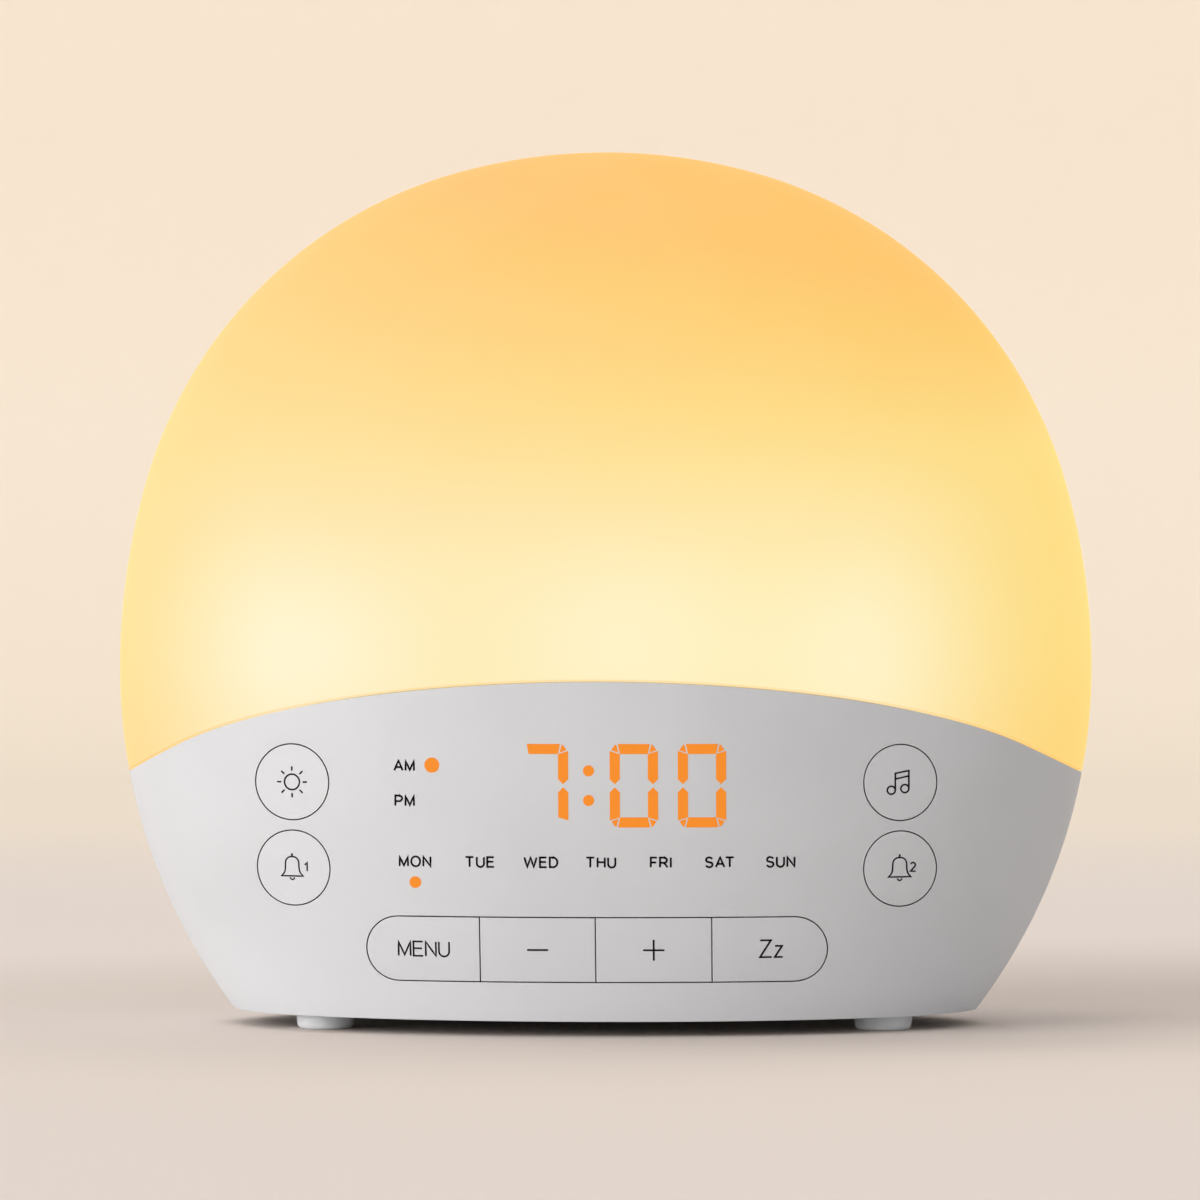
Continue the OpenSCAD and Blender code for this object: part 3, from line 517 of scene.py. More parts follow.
GLOW_RED = 0.905
GLOW = (  # height, green and blue of the dome's light
    (0.0500, 0.730, 0.380), (0.0727, 0.765, 0.400), (0.0830, 0.765, 0.400), (0.0909, 0.755, 0.390),
    (0.1027, 0.715, 0.336), (0.1146, 0.670, 0.246), (0.1265, 0.620, 0.181), (0.1385, 0.570, 0.146),
    (0.1510, 0.535, 0.116), (0.1640, 0.490, 0.106), (0.1790, 0.475, 0.100),
)
GLOW_TOP = 0.18
LAMP_SPOTS = ((-0.060, 0.076, 0.55), (0.007, 0.078, 0.40), (0.056, 0.075, 0.48))  # x, z, strength


def glow_finish(name):
    """The dome's milky plastic, lit from inside by clusters of lamps low in the clock, with painted
    darker sides and a painted lighter right half.
    """
    f = Finish(name)
    x, y, z = f.xyz()
    body = Body()
    tilted = z + x*((z - 0.100)*5.3).step(0.0, 0.5)*0.35
    stops = [(height/GLOW_TOP, (GLOW_RED, green, blue)) for height, green, blue in GLOW]
    warm = f.node("ShaderNodeValToRGB", {"stops": stops}, tilted/GLOW_TOP)
    for spot_x, spot_z, strength in LAMP_SPOTS:
        away = distance((x - spot_x)/0.024, (z - spot_z)/0.018)
        warm = f.mix((1 - away.step(0.0, 1.6))*strength, warm, (0.92, 0.86, 0.645))
    # painted shade: the sides are darker and more orange, standing in for the dim rim at the dome's
    # silhouette
    side = ((x + 0.007).size()/body.half).step(0.56, 1.04)
    amber = f.mix(z.step(0.050, 0.085), (GLOW_RED, 0.590, 0.150), (GLOW_RED, 0.645, 0.185))
    warm = f.mix(side, warm, amber, "DARKEN")
    # painted light: the right half is lifted a little, making up for the lamp light falling from the
    # left
    warm = f.mix(x.step(-0.05, 0.04), warm, (0.030, 0.032, 0.0), "ADD")
    bend = math.radians(body.SPLIT_SLOPE)
    near = y.size().least(body.split_r*math.sin(bend))
    seam_z = (body.split_z + body.split_r - (body.split_r**2 - near*near)**0.5
              + (y.size() - near)*math.tan(bend))
    rim = 1 - (z - seam_z).step(0.0001, 0.0006)
    warm = f.mix(rim*0.5, warm, (0.93, 0.50, 0.14))
    clouds = f.noise(60.0, 2.0)
    warm = f.mix(clouds.step(0.35, 0.65)*0.03, warm, (0.94, 0.70, 0.34))
    return f.plastic(Base_Color=f.mix(clouds, (0.065, 0.065, 0.070), (0.075, 0.075, 0.080)),
                     Roughness=0.58 + (clouds - 0.5)*0.06, Specular_IOR_Level=0.15,
                     Emission_Color=warm, Emission_Strength=1.0,
                     Normal=f.bump(f.noise(1800.0, 2.0), 0.05, 0.00005))


def lit_finish(name, shade, strength):
    f = Finish(name)
    wave = f.noise(900.0, 2.0)
    lit = f.mix(wave.step(0.3, 0.7)*0.25, shade, tint(shade, 1.08))
    return f.plastic(Base_Color=tint(shade, 0.15), Roughness=0.6, Specular_IOR_Level=0.2,
                     Emission_Color=lit, Emission_Strength=strength)


def ink_finish(name, shade):
    f = Finish(name)
    wear = f.noise(4200.0, 3.0)
    return f.plastic(Base_Color=f.mix(wear.step(0.25, 0.75)*0.3, shade, tint(shade, 1.7)),
                     Roughness=0.55 + (wear - 0.5)*0.1, Specular_IOR_Level=0.15)


def board_finish(name, shade):
    """Circuit board: solder mask with copper tracks under it and bare pads."""
    f = Finish(name)
    tracks = f.node("ShaderNodeTexBrick", {"offset": 0.5, "squash": 1.0}, Vector=f.place(),
                    Scale=260.0, Mortar_Size=0.012, Mortar_Smooth=0.2, out="Fac")
    clouds = f.noise(90.0, 2.0)
    shade_now = f.mix(tracks*0.55, shade, tint(shade, 1.7))
    shade_now = f.mix(clouds.step(0.35, 0.75)*0.3, shade_now, tint(shade, 0.75))
    return f.plastic(Base_Color=shade_now, Roughness=0.3 + tracks*0.1,
                     Normal=f.bump(tracks, 0.15, 0.00004))


def metal_finish(name, shade, rough):
    f = Finish(name)
    brush = f.noise(1500.0, 3.0, 0.6)
    return f.plastic(Base_Color=f.mix(brush*0.3, shade, tint(shade, 0.75)), Metallic=1.0,
                     Roughness=rough + (brush - 0.5)*0.15, Normal=f.bump(brush, 0.08, 0.00003))


def paper_finish(name):
    """The stage's paper: warmer up the backdrop, with a painted soft shadow around the clock."""
    f = Finish(name)
    x, y, z = f.xyz()
    floor = colour_of("floor")
    grain = f.noise(300.0, 3.0)
    far = f.mix(z.step(0.03, 0.40), colour_of("backdrop"), colour_of("backdrop_high"))
    shade = f.mix(y.step(0.40, 1.35), floor, far)
    shade = f.mix(grain*0.04, shade, tint(floor, 0.9))
    # painted shade: a soft dark patch around the clock, standing in for its contact shadow
    away = distance((x + 0.005)/0.15, (y - 0.06 - x.step(0.0, 0.12)*0.06)/0.135)
    shade = f.mix((1 - away.step(0.3, 1.9))*0.19, shade, (0.0, 0.0, 0.0))
    seen = [f.node("ShaderNodeLightPath", out="Is " + ray + " Ray")
            for ray in ("Camera", "Glossy", "Transmission")]
    shade = f.mix(seen[0] + seen[1] + seen[2], (0.88, 0.88, 0.89), shade)
    return f.plastic(Base_Color=shade, Roughness=0.85, Normal=f.bump(grain, 0.05, 0.0002))


# -------- strokes and signs

GLYPHS = {  # a letter's width and its strokes, at a height of 1
    "A": (0.80, [[(0, 0), (0.40, 1), (0.80, 0)], [(0.13, 0.33), (0.67, 0.33)]]),
    "D": (0.72, [[(0, 0), (0, 1), (0.30, 1)] + arc(0.30, 0.5, 0.42, 0.5, 90, -90) + [(0, 0)]]),
    "E": (0.62, [[(0.62, 1), (0, 1), (0, 0), (0.64, 0)], [(0, 0.53), (0.57, 0.53)]]),
    "F": (0.56, [[(0.58, 1), (0, 1), (0, 0)], [(0, 0.5), (0.50, 0.5)]]),
    "H": (0.68, [[(0, 0), (0, 1)], [(0.68, 0), (0.68, 1)], [(0, 0.53), (0.68, 0.53)]]),
    "I": (0.0, [[(0, 0), (0, 1)]]),
    "M": (0.80, [[(0, 0), (0, 1), (0.40, 0.06), (0.80, 1), (0.80, 0)]]),
    "N": (0.68, [[(0, 0), (0, 1), (0.68, 0), (0.68, 1)]]),
    "O": (0.86, [arc(0.43, 0.5, 0.43, 0.51, 90, 450, 28)]),
    "P": (0.64, [[(0, 0), (0, 1), (0.36, 1)] + arc(0.36, 0.72, 0.28, 0.28, 90, -90, 10) + [(0, 0.44)]]),
    "R": (0.70, [[(0, 0), (0, 1), (0.38, 1)] + arc(0.38, 0.73, 0.27, 0.27, 90, -90, 10) + [(0, 0.46)],
                 [(0.32, 0.46), (0.50, 0.32), (0.70, 0)]]),
    "S": (0.64, [arc(0.32, 0.745, 0.29, 0.265, 20, 230, 14)[:-1]
                 + [(0.22, 0.53), (0.42, 0.47)] + arc(0.32, 0.265, 0.31, 0.275, 50, -165, 14)]),
    "T": (0.76, [[(0, 1), (0.76, 1)], [(0.38, 1), (0.38, 0)]]),
    "U": (0.68, [[(0, 1), (0, 0.36)] + arc(0.34, 0.34, 0.34, 0.36, 180, 360)[1:] + [(0.68, 1)]]),
    "W": (1.16, [[(0, 1), (0.27, 0), (0.58, 1), (0.89, 0), (1.16, 1)]]),
    "Z": (0.66, [[(0.02, 1), (0.64, 1), (0, 0), (0.68, 0)]]),
    "z": (0.44, [[(0.02, 0.66), (0.43, 0.66), (0, 0), (0.46, 0)]]),
    "1": (0.30, [[(0, 0.72), (0.30, 1), (0.30, 0)]]),
    "2": (0.56, [arc(0.28, 0.72, 0.26, 0.28, 160, -30, 12) + [(0, 0), (0.58, 0)]]),
}


def on_front(body):
    """Places points given by x and z on the body's front; sinking runs straight back."""
    def place(x, z, sink, straight):
        point = body.front(x, z)
        return point + Vector((0, sink, 0)), body.normal(*point)
    return place


class Pen:
    """Draws lines and letters on the body's front, around a middle."""

    def __init__(self, part, x=0.0, z=0.0):
        self.part, self.place, self.middle = part, on_front(Body()), Vector((x, z))

    def moved(self, x):
        return Pen(self.part, self.middle.x + x, self.middle.y)

    def line(self, points, wide, closed=False, lift=0.00003, deep=0.00006):
        """A raised line of one width, or a sunk one where lift is below 0."""
        line = along([self.middle + Vector(p) for p in points], 0.0012, closed)
        ways = [(b - a).normalized() for a, b in zip(line, line[1:])]
        back = (line[0] - line[-1]).normalized()
        rings = []
        for here, one, two in zip(line, [back if closed else ways[0]] + ways,
                                  ways + [back if closed else ways[-1]]):
            left, lean = corner(one, two)
            half = left*min(wide/2/max(lean, 0.35), wide)
            rings.append([self.part.add(*self.place(*(here + half*side), sink - lift, True))
                          for side, sink in ((1, deep), (1, 0), (-1, 0), (-1, deep))])
        for one, two in zip(rings, rings[1:] + rings[:1] if closed else rings[1:]):
            self.part.strip(two, one)
        if not closed:
            self.part.caps(rings)

    def word(self, text, x, z, height, wide, space=0.24, squeeze=1.0):
        """Letters centred on x, with their feet at z."""
        total = sum(GLYPHS[c][0] for c in text)*squeeze + space*(len(text) - 1)
        left = x - total*height/2
        for c in text:
            across, strokes = GLYPHS[c]
            for stroke in strokes:
                closed = stroke[0] == stroke[-1]
                self.line([(left + px*squeeze*height, z + pz*height)
                           for px, pz in (stroke[:-1] if closed else stroke)], wide, closed)
            left += (across*squeeze + space)*height
            if c == "A" and text.endswith("AT"):
                left -= 0.2*height


def digit_shapes():
    """Outlines of the lit strokes of a seven and of a zero, from the lower left of a digit's cell."""
    wide, high, thick = 0.0095, 0.0165, 0.0020
    middle, tip, end = high/2, 0.0003, 0.0014
    near, far = 0.001588, 0.002025
    open_near, open_far = 0.001322, 0.001702

    def across(points):
        return [(wide - x, z) for x, z in points]

    def down(points):
        return [(x, high - z) for x, z in points]

    top = [(near, high), (wide - near, high), (wide - far, high - thick), (far, high - thick)]
    open_top = [(open_near, high), *top[1:3], (open_far, high - thick)]
    side = [(0, high - end), (thick, high - thick), (thick, middle + thick/2 + tip),
            (thick/2, middle + tip), (0, middle + thick/2 + tip)]
    nook = [(0.00030, high - 0.00122), (0.00172, high - 0.00172), (0.00126, high - 0.00010),
            (0.00100, high - 0.00022)]
    left = [side, down(side), nook, down(nook)]
    return {"seven": [open_top, across(side), across(down(side)), across(nook)],
            "zero": [top, down(top), *left, *(across(shape) for shape in left)]}


def patch(part, points):
    """A thin lit patch on the front."""
    points = [Vector(p) for p in points]
    area = sum(a.x*b.y - b.x*a.y for a, b in zip(points, points[1:] + points[:1]))
    loop = along(points if area > 0 else points[::-1], 0.0012, True)
    part.sheet(on_front(Body()), loop, depth=0.00008, edge=0.00003, step=0.0012, lift=0.00004)


# -------- key shapes

def key_centres():
    """The middle of each key, in the order of their names."""
    s = sizes()
    centres = [(side*s.key_x - s.key_shift, z)
               for side in (-1, 1) for z in (s.key_high_z, s.key_low_z)]
    return centres + [((i - 1.5)*s.bar_w/4 - s.bar_shift, s.bar_z) for i in range(4)]


def key_circles(grow, count, backwards=False):
    """Outlines of the four round keys, grown by a length."""
    s = sizes()
    return [circle(x, z, s.key_hole_d/2 + grow, count, backwards, s.key_squash if x > 0 else 1.0)
            for x, z in key_centres()[:4]]


def bar_end(side, r):
    """Half a circle at the bar's right (1) or left (-1) end, counter-clockwise."""
    s = sizes()
    return arc(side*(s.bar_w - s.bar_h)/2, s.bar_z, r, r, -90*side, 180 - 90*side, 20)


def in_bar(points, step):
    """Closes a line of the key bar and moves it to the bar's place."""
    return [p - Vector((sizes().bar_shift, 0)) for p in along(points, step, True)]


def bar_loop(grow):
    """Outline of the key bar's opening, counter-clockwise."""
    r = sizes().bar_h/2 + grow
    return in_bar(bar_end(1, r) + bar_end(-1, r), 0.003)


def bar_key_loop(index):
    """Outline of one of the bar's four keys, counter-clockwise."""
    s = sizes()
    r = s.bar_h/2 - s.key_gap
    low, high = s.bar_z - r, s.bar_z + r
    left = (index - 2)*s.bar_w/4 + s.key_gap/2
    right = (index - 1)*s.bar_w/4 - s.key_gap/2
    left_end = bar_end(-1, r) if index == 0 else [(left, high), (left, low)]
    right_end = bar_end(1, r) if index == 3 else [(right, low), (right, high)]
    return in_bar(left_end + right_end, 0.002)


# -------- operators

class ClockOperator:
    bl_options = {"REGISTER", "UNDO"}


class CLOCK_OT_stage(ClockOperator, bpy.types.Operator):
    """Adds the floor, the backdrop, the lamps and the camera"""

    bl_idname = "clock.stage"
    bl_label = "Stage"

    LIGHT = (1.0, 0.99, 0.98)
    LAMPS = (  # name, strength, spread in degrees, the side it shines from
        ("key_lamp", 2.42, 50, (-0.80, -0.62, 0.25)),
        ("top_lamp", 1.08, 60, (-0.60, 0.50, 0.80)),
    )

    def execute(self, context):
        scene = context.scene
        scene.view_settings.view_transform = "Standard"

        away, swing = 1.300, math.radians(1.9)
        aside, level = -0.00103, 0.0869
        camera = linked("camera", bpy.data.cameras.new("camera"))
        camera.location = (away*math.sin(swing) + aside*math.cos(swing),
                           -away*math.cos(swing) + aside*math.sin(swing), level)
        camera.rotation_euler = (math.radians(90), 0, swing)
        camera.data.sensor_width, camera.data.lens = 36.0, 189.33
        camera.data.clip_start, camera.data.clip_end = 0.05, 50.0
        scene.camera = camera

        near, back, high, half, bend = -3.0, 2.3, 4.9, 6.5, 0.55
        profile = [(near, 0.0), *arc(back - bend, bend, bend, bend, -90, 0, 24), (back, high)]
        points = [(x, y, z) for y, z in profile for x in (-half, half)]
        faces = [(i, i + 1, i + 3, i + 2) for i in range(0, len(points) - 2, 2)]
        floor = linked("floor", smooth_mesh("floor", points, faces, paper_finish("floor_paper")))
        floor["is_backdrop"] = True

        for name, strength, spread, side in self.LAMPS:
            sun = bpy.data.lights.new(name, "SUN")
            sun.energy, sun.angle, sun.color = strength, math.radians(spread), self.LIGHT
            linked(name, sun).rotation_euler = Vector(side).to_track_quat("Z", "Y").to_euler()

        scene.world = bpy.data.worlds.new("studio")
        f = Finish("studio", scene.world)
        seen = f.node("ShaderNodeLightPath", out="Is Camera Ray")
        f.end("ShaderNodeBackground", Strength=1.0,
              Color=f.mix(seen, tint(self.LIGHT, 0.42), tint(colour_of("floor"), 0.9)))
        return {"FINISHED"}


class CLOCK_OT_dome(ClockOperator, bpy.types.Operator):
    """Adds the glowing dome"""

    bl_idname = "clock.dome"
    bl_label = "Dome"

    def execute(self, context):
        s = sizes()
        body = Body()
        count, rows, wall, ledge = 224, 84, 0.0022, 0.0006
        square = math.pi/2
        up = Vector((0, 0, 1))
        turns = [2*math.pi*i/count for i in range(count)]
        seam = [body.split(turn, s.seam/2) for turn in turns]
        under = [z - s.seam*0.7 for z in seam]
        starts = [math.asin((z + s.edge - body.widest)/body.rise) for z in seam]

        def ring(levels, sink, lean=0.0):
            """A ring with its points sunk into the wall and its normals leant downwards."""
            out = []
            for turn, z in zip(turns, levels):
                point = body.at_angle(turn, z)
                normal = body.normal(*point)
                down = (normal*normal.dot(up) - up).normalized()
                out.append((point - normal*sink,
                            (normal*math.cos(lean) + down*math.sin(lean)).normalized()))
            return out

        levels = [[body.widest + body.rise*math.sin(start + (square - start)*(j/rows))
                   for start in starts] for j in range(rows)]
        rings = [ring(z, sink, lean) for z, sink, lean in (
            (under, wall, square), (under, ledge, square), (under, ledge, 0),
            (seam, ledge, 0), (seam, ledge, square))]
        for angle in (square, square*2/3, square/3):
            rings.append(ring([z + s.edge*(1 - math.sin(angle)) for z in seam],
                              s.edge*(1 - math.cos(angle)), angle))
        part = Part()
        outside = part.rows(rings + [ring(z, 0) for z in levels])
        part.fan(outside[-1], up*s.top_z, up)
        lining = [[(point, -normal) for point, normal in ring(z, wall)] for z in levels]
        inside = part.rows(lining, flip=True)
        part.strip(inside[0], outside[0])
        part.fan(inside[-1][::-1], up*(s.top_z - wall), -up)
        part.make("dome", glow_finish("dome_glow"), "diffuser", replaces=["diffuser_dome"])
        return {"FINISHED"}


class CLOCK_OT_shells(ClockOperator, bpy.types.Operator):
    """Adds the front and rear shells of the base"""

    bl_idname = "clock.shells"
    bl_label = "Shells"

    SPREAD = 0.080
    STEP = 0.0026
    SPEAKER = (-0.030, 0.0275)
    INLET = (0.032, 0.0145)
    BAY_R = 0.0065

    def surface(self, body, side):
        """Maps u, v (angle times SPREAD, height) to the front (1) or rear (-1) half."""
        def place(u, v, sink, straight):
            point = body.at_angle(u/self.SPREAD, v)
            normal = body.normal(*point)
            if straight:
                point = point + Vector((0, sink/max(abs(normal.y), 0.4), 0))
            else:
                point = point - normal*sink
            turn = Vector((side, side, 1))
            return point*turn, normal*turn
        return place

    def to_sheet(self, body, loop):
        """A loop given by x and z, as u and v."""
        return [Vector((self.SPREAD*math.asin(p.x/body.half_width(p.y)), p.y)) for p in loop]

    def outline(self, body):
        """A half's lower edge, right side, split line and left side, counter-clockwise."""
        s = sizes()

        def limit(z):
            return self.SPREAD*math.acos(s.seam/2/(body.flat*body.half_width(z)))

        def split(u):
            return body.split(u/self.SPREAD, -s.seam/2)

        def spaced(start, end):
            count = round(abs(end - start)/0.0016)
            return [start + (end - start)*i/count for i in range(count)]

        low, high = s.base_z, split(limit(s.split_z))
        loop = [(u, low) for u in spaced(-limit(low), limit(low))]
        loop += [(limit(z), z) for z in spaced(low, high)]
        loop += [(u, split(u)) for u in spaced(limit(high), -limit(high))]
        loop += [(-limit(z), z) for z in spaced(high, low)]
        return [Vector(p) for p in loop]

    def execute(self, context):
        body = Body()
        # the shells' colour carries painted floor bounce light, paler low down
        shell = moulded("shell_plastic", colour_of("shell"), painted_floor_bounce=0.09)
        outline = self.outline(body)
        self.front(body, outline).make("fascia", shell, "shell", replaces=["front_fascia"])
        self.rear(body, outline).make("back_shell", shell, "shell", replaces=["rear_shell"])
        return {"FINISHED"}

    def front(self, body, outline):
        """The front shell, with its key openings and the floor of the gaps around the keys."""
        s = sizes()
        part = Part()
        holes = [*key_circles(0.0, 64, True), bar_loop(0.0)[::-1]]
        part.sheet(self.surface(body, 1), outline, [self.to_sheet(body, hole) for hole in holes],
                   depth=s.wall, edge=0.00012, step=self.STEP)
        pen = Pen(part)
        sunk = {"lift": -s.groove, "deep": s.groove + 0.0003}
        overlap, outward = 0.00008, 0.00007
        shift = s.key_gap/2 - outward
        for ring in key_circles(-shift, 96) + [bar_loop(-shift)]:
            pen.line(ring, s.key_gap + overlap, True, **sunk)
        reach = s.bar_h/2 - 0.0001
        for i in (-1, 0, 1):
            x = i*s.bar_w/4 - s.bar_shift
            pen.line([(x, s.bar_z - reach), (x, s.bar_z + reach)], s.key_gap - 0.00006, **sunk)
        return part

    def rear(self, body, outline):
        """The rear shell, with the speaker's grille and the recess for the plug."""
        s = sizes()
        part = Part()
        x, z = self.SPEAKER
        pitch, hole_r = 0.0042, 0.0012
        holes = [circle(*spot, hole_r, 16, True)
                 for ring in range(4) for spot in circle(-x, z, ring*pitch, max(6*ring, 1))]
        x, z = self.INLET
        holes.append(circle(-x, z, self.BAY_R, 40, True))
        part.sheet(self.surface(body, -1), outline, [self.to_sheet(body, hole) for hole in holes],
                   depth=s.wall, edge=s.edge, step=self.STEP)
        self.recess(part, body)
        self.tongues(part, body)
        return part

    def tongues(self, part, body):
        """A lip down each side of the rear shell, which closes the seam to the front shell."""
        s = sizes()
        near, far, out, deep, count = -0.00012, 0.0004, 0.0005, 0.0017, 24
        high = s.split_z - 0.0006
        for side in (-1, 1):
            rings = []
            for i in range(count + 1):
                z = s.base_z + (high - s.base_z)*i/count
                wide = body.half_width(z)
                rings.append([(Vector((side*(wide - sink), y, z)),
                               Vector((side*across, back, 0)).normalized())
                              for sink, y, across, back in ((out, near, 1, -1), (out, far, 1, 1),
                                                            (deep, far, -1, 1), (deep, near, -1, -1))])
            part.caps(part.rows([ring[::side] for ring in rings]))

    def recess(self, part, body):
        """The round recess around the power inlet: its wall, its floor and its outside."""
        x, z = self.INLET
        r = self.BAY_R - 0.00004
        floor_y, back_y, nose_r, thick, below_skin, count = 0.040, 0.038, 0.0042, 0.0014, 0.0009, 48
        rings = []
        # radius, y or None for the skin, and the normal's outward and backward parts
        for radius, y, out, back in ((r, None, -1, 0), (r, floor_y, -1, 0), (r, floor_y, 0, 1),
                                     (nose_r, floor_y, 0, 1), (nose_r, floor_y, -1, 0),
                                     (nose_r, back_y, -1, 0), (nose_r, back_y, 0, -1),
                                     (r + thick, back_y, 0, -1), (r + thick, None, 1, 0)):
            ring = []
            for p, way in zip(circle(x, z, radius, count), circle(0, 0, 1, count)):
                depth = -body.front(*p).y - below_skin if y is None else y
                ring.append((Vector((p.x, depth, p.y)), Vector((out*way.x, back, out*way.y))))
            rings.append(ring)
        numbers = part.rows(rings)
        part.strip(numbers[-1], numbers[0])


class CLOCK_OT_keys(ClockOperator, bpy.types.Operator):
    """Adds the eight key caps"""

    bl_idname = "clock.keys"
    bl_label = "Keys"

    def execute(self, context):
        place = on_front(Body())
        plastic = moulded("key_plastic", tint(colour_of("shell"), 1.03),
                           grain=3000.0, relief=0.08, rough=0.46, spread=0.04)
        loops = key_circles(-sizes().key_gap, 72) + [bar_key_loop(i) for i in range(4)]
        for name, loop in zip(KEY_NAMES, loops):
            part = Part()
            part.sheet(place, loop, depth=0.0028, edge=0.00012, step=0.0018)
            part.make("cap_" + name, plastic, "key", "key_" + name, replaces=["button_" + name])
        return {"FINISHED"}


class CLOCK_OT_signs(ClockOperator, bpy.types.Operator):
    """Adds the signs on the keys and the printed words on the fascia"""

    bl_idname = "clock.signs"
    bl_label = "Signs"

    DAYS = (("MON", -0.03595), ("TUE", -0.02301), ("WED", -0.01085), ("THU", 0.00098),
            ("FRI", 0.0128), ("SAT", 0.0246), ("SUN", 0.0364))

    def execute(self, context):
        grey = ink_finish("grey_ink", colour_of("grey_ink"))
        black = ink_finish("black_ink", colour_of("ink"))
        for name, middle in zip(KEY_NAMES, key_centres()):
            part = Part()
            getattr(self, name)(Pen(part, *middle))
            part.make("sign_" + name, grey, "key", "key_" + name)
        part = Part()
        pen = Pen(part)
        wide, squeeze = 0.00037, 1.08
        for day, x in self.DAYS:
            pen.word(day, x, 0.03420, 0.00193, wide, 0.34, squeeze)
        pen.word("AM", -0.03795, 0.05323, 0.00195, wide, 0.30, squeeze)
        pen.word("PM", -0.03790, 0.04626, 0.00197, wide, 0.34, squeeze)
        part.make("words", black, "shell")
        return {"FINISHED"}

    def brightness(self, pen):
        """A sun: a ring and eight rays."""
        wide = 0.00032
        pen.line(circle(0, 0, 0.00155, 40), wide, True)
        for ray in circle(0, 0, 1, 8):
            pen.line([ray*0.00222, ray*0.00310], wide)

    def bell(self, pen):
        half = [(0.00224, -0.00165), (0.00170, -0.00105), (0.00148, -0.0005), (0.00140, 0.0003)]
        crown = [(math.copysign(0.00140*abs(x)**0.8, x), 0.00074 + 0.00150*z**0.85)
                 for x, z in arc(0, 0, 1, 1, 4, 176, 16)]
        pen.line(half + crown + [(-x, z) for x, z in reversed(half)], 0.00029, True)
        pen.line([(0, 0.00220), (0, 0.00290)], 0.00036)
        pen.line(arc(0, -0.00194, 0.00043, 0.00043, 180, 360, 12), 0.00027)

    def alarm_1(self, pen):
        self.bell(pen.moved(-0.00026))
        pen.word("1", 0.0026, -0.0006, 0.0017, 0.00030)

    def alarm_2(self, pen):
        self.bell(pen.moved(-0.0001))
        pen.word("2", 0.00256, -0.00055, 0.00175, 0.00031)

    def sound(self, pen):
        """Two notes, joined by two beams."""
        wide, r = 0.00032, 0.00080
        for x, z, high in ((-0.00183, -0.00152, 0.0018), (0.00087, -0.00122, 0.0024)):
            pen.line(circle(x, z, r, 28), wide, True)
            pen.line([(x + r, z), (x + r, high)], wide)
        pen.line([(-0.00119, 0.0018), (0.00183, 0.0024)], wide)
        pen.line([(-0.00103, 0.0007), (0.00167, 0.0013)], wide)

    def menu(self, pen):
        pen.word("MENU", 0.0002, -0.00145, 0.0029, 0.00034, space=0.21, squeeze=1.04)

    def minus(self, pen):
        pen.line([(-0.0021, 0), (0.0021, 0)], 0.00036)

    def plus(self, pen):
        self.minus(pen)
        pen.line([(0, -0.0021), (0, 0.0021)], 0.00036)

    def snooze(self, pen):
        pen.word("Zz", 0.0002, -0.00155, 0.0034, 0.00036, space=0.20)


class CLOCK_OT_display(ClockOperator, bpy.types.Operator):
    """Adds the lit digits, the colon and the status lights"""

    bl_idname = "clock.display"
    bl_label = "Display"

    DIGITS_Z = 0.0421
    DIGITS = (("digit_hours", "seven", -0.01485), ("digit_tens", "zero", 0.00282),
              ("digit_ones", "zero", 0.01620))
    LIGHTS = (  # piece, then x, z, radius and corners of its round lights
        ("colon", ((-0.00134, 0.04745, 0.0011, 28), (-0.00134, 0.0533, 0.0011, 28))),
        ("status_lights", ((-0.0324, 0.05432, 0.00150, 32), (-0.03595, 0.0310, 0.00118, 28))),
    )

    def execute(self, context):
        lit = lit_finish("amber_light", colour_of("amber"), strength=0.85)
        shapes = digit_shapes()
        pieces = [(name, [[(left + x, self.DIGITS_Z + z) for x, z in shape] for shape in shapes[digit]])
                  for name, digit, left in self.DIGITS]
        pieces += [(name, [circle(*light) for light in lights]) for name, lights in self.LIGHTS]
        for name, loops in pieces:
            part = Part()
            for loop in loops:
                patch(part, loop)
            part.make(name, lit, "light_guide")
        return {"FINISHED"}


def dress(finish, nodes):
    """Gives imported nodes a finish."""
    for node in nodes.split():
        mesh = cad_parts[node].data
        mesh.materials.clear()
        mesh.materials.append(finish)


class CLOCK_OT_base(ClockOperator, bpy.types.Operator):
    """Finishes the base plate, the feet and the screws under them"""

    bl_idname = "clock.base"
    bl_label = "Base"

    def execute(self, context):
        plate = moulded("base_plastic", colour_of("base"), grain=1800.0, relief=0.2, rough=0.6)
        rubber = moulded("foot_rubber", colour_of("foot"), grain=1500.0, relief=0.25, rough=0.8)
        steel = metal_finish("screw_steel", (0.62, 0.62, 0.63), rough=0.35)
        dress(plate, "base_plate")
        shift, grow = 0.00045, 0.00012
        for place in ("front_left", "front_right", "rear_left", "rear_right"):
            low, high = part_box("foot_" + place)
            front = place.startswith("front")
            middle = Vector(((low.x + high.x)/2 + front*shift, (low.y + high.y)/2, 0))
            part = self.foot(middle, (high.x - low.x)/2 + front*grow)
            part.make("pad_" + place, rubber, "foot", replaces=["foot_" + place])
        dress(steel, "base_screws lamp_screws dome_screws main_board_screws display_board_screws "
                     "speaker_screws power_board_screws")
        return {"FINISHED"}

    def foot(self, middle, r):
        """A round foot: flat underneath, rounded along its lower edge, a little wider at its top."""
        edge, flare, top, count = 0.0011, 0.0003, 0.0031, 48
        flat = r - flare - edge
        profile = [(flat + edge*math.sin(a), edge - edge*math.cos(a), a - math.pi/2)
                   for a in (math.pi/2*i/5 for i in range(6))]
        profile += [(r, top, 0.0), (r, top, math.pi/2)]
        part = Part()
        part.caps(part.rows([
            [(Vector((*(way*radius), z)) + middle, Vector((*(way*math.cos(lean)), math.sin(lean))))
             for way in circle(0, 0, 1, count)] for radius, z, lean in profile]))
        return part


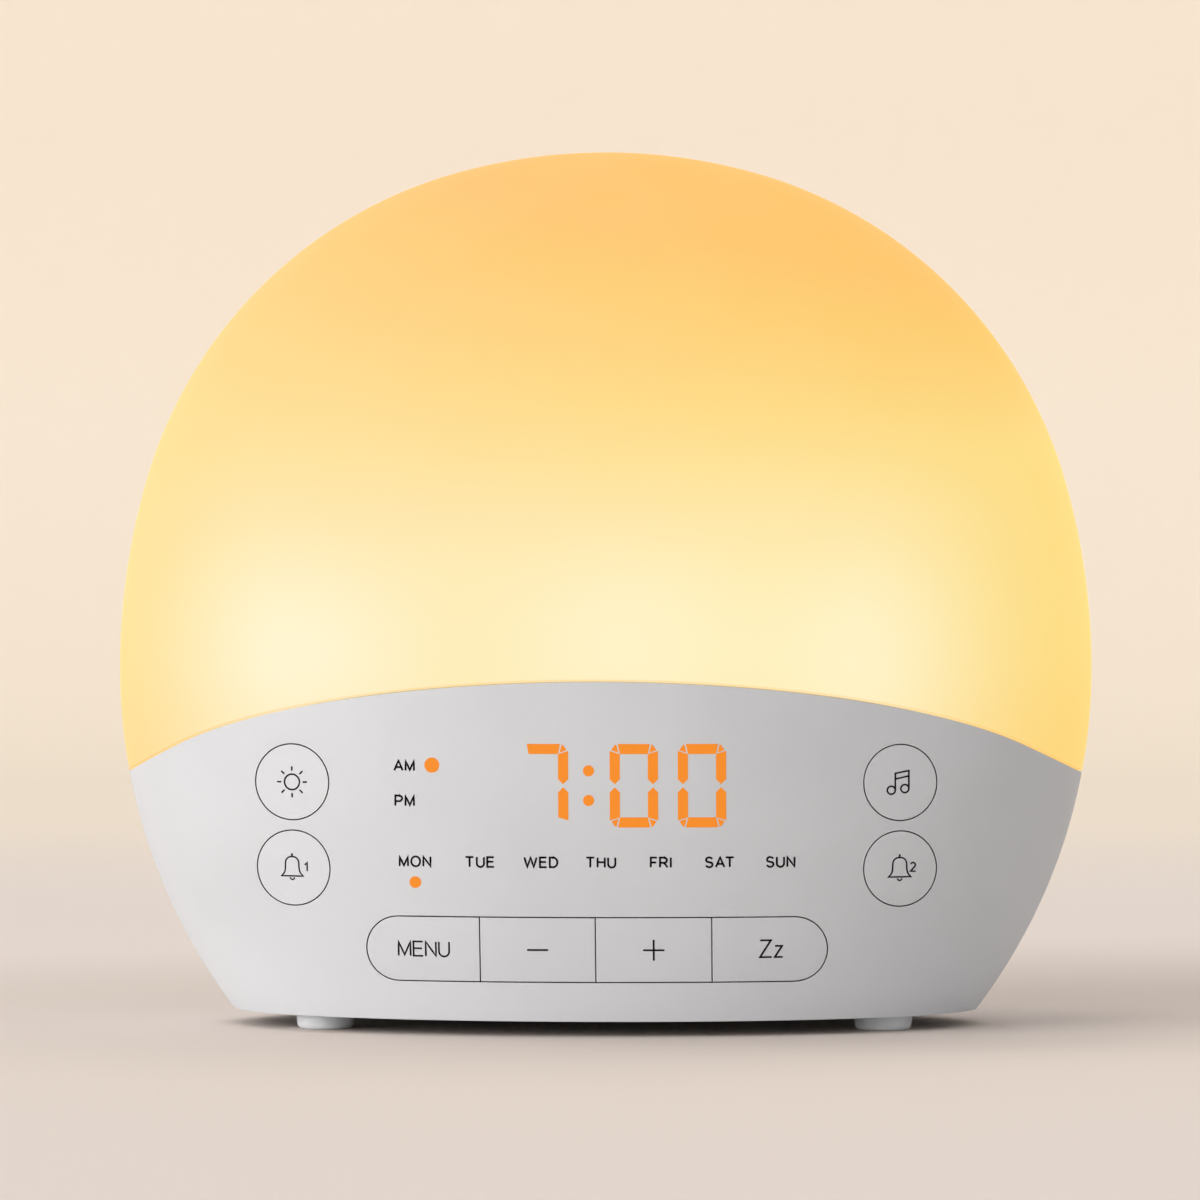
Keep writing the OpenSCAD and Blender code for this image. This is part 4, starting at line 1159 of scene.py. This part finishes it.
class CLOCK_OT_insides(ClockOperator, bpy.types.Operator):
    """Finishes the boards, the lamp, the speaker and the power inlet"""

    bl_idname = "clock.insides"
    bl_label = "Insides"

    def execute(self, context):
        plungers = " plunger_".join(("", *KEY_NAMES))
        for finish, nodes in (
            (board_finish("green_board", (0.02, 0.16, 0.06)), "main_board display_board power_board"),
            (board_finish("white_board", (0.80, 0.80, 0.78)), "lamp_board"),
            (moulded("white_reflector", (0.84, 0.84, 0.82), grain=1200.0, relief=0.06, spread=0.03),
             "reflector_tray display_block"),
            (moulded("black_plastic", (0.02, 0.02, 0.021), grain=1600.0, relief=0.15, rough=0.45),
             "power_inlet key_switches" + plungers),
            (moulded("speaker_frame", (0.03, 0.03, 0.03), grain=1200.0, relief=0.2, rough=0.4),
             "speaker_frame"),
            (moulded("speaker_paper", (0.025, 0.025, 0.025), grain=700.0, relief=0.5, rough=0.85),
             "speaker_cone"),
            (lit_finish("light_guide", colour_of("amber"), strength=0.6),
             "segment_lenses day_light_pipe half_day_light_pipe"),
            (lit_finish("lamp_phosphor", (0.98, 0.72, 0.32), strength=1.0), "lamp_chips"),
            (metal_finish("plated_metal", (0.78, 0.78, 0.79), rough=0.18), "speaker_magnet inlet_pin"),
        ):
            dress(finish, nodes)
        return {"FINISHED"}


class CLOCK_PT_panel(bpy.types.Panel):
    """Lists the clock's pieces and settings"""

    bl_idname = "CLOCK_PT_panel"
    bl_label = "Sunrise alarm clock"
    bl_space_type = "VIEW_3D"
    bl_region_type = "UI"
    bl_category = "Clock"

    def draw(self, context):
        for operator in OPERATORS:
            self.layout.operator(operator.bl_idname)
        for group in (context.scene.clock_sizes, context.scene.clock_colours):
            box = self.layout.box()
            for name in group.__annotations__:
                box.prop(group, name)


OPERATORS = (CLOCK_OT_stage, CLOCK_OT_dome, CLOCK_OT_shells, CLOCK_OT_keys, CLOCK_OT_signs,
             CLOCK_OT_display, CLOCK_OT_base, CLOCK_OT_insides)
CLASSES = (ClockSizes, ClockColours, *OPERATORS, CLOCK_PT_panel)


def register():
    for item in CLASSES:
        bpy.utils.register_class(item)
    bpy.types.Scene.clock_sizes = PointerProperty(type=ClockSizes)
    bpy.types.Scene.clock_colours = PointerProperty(type=ClockColours)


def unregister():
    del bpy.types.Scene.clock_sizes
    del bpy.types.Scene.clock_colours
    for item in reversed(CLASSES):
        bpy.utils.unregister_class(item)


def main():
    register()
    bpy.ops.clock.stage()
    bpy.ops.clock.dome()
    bpy.ops.clock.shells()
    bpy.ops.clock.keys()
    bpy.ops.clock.signs()
    bpy.ops.clock.display()
    bpy.ops.clock.base()
    bpy.ops.clock.insides()
    ({"cad": [list(corner) for corner in cad_box],
               "visual": [list(corner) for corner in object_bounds()]})


if __name__ == "__main__":
    main()
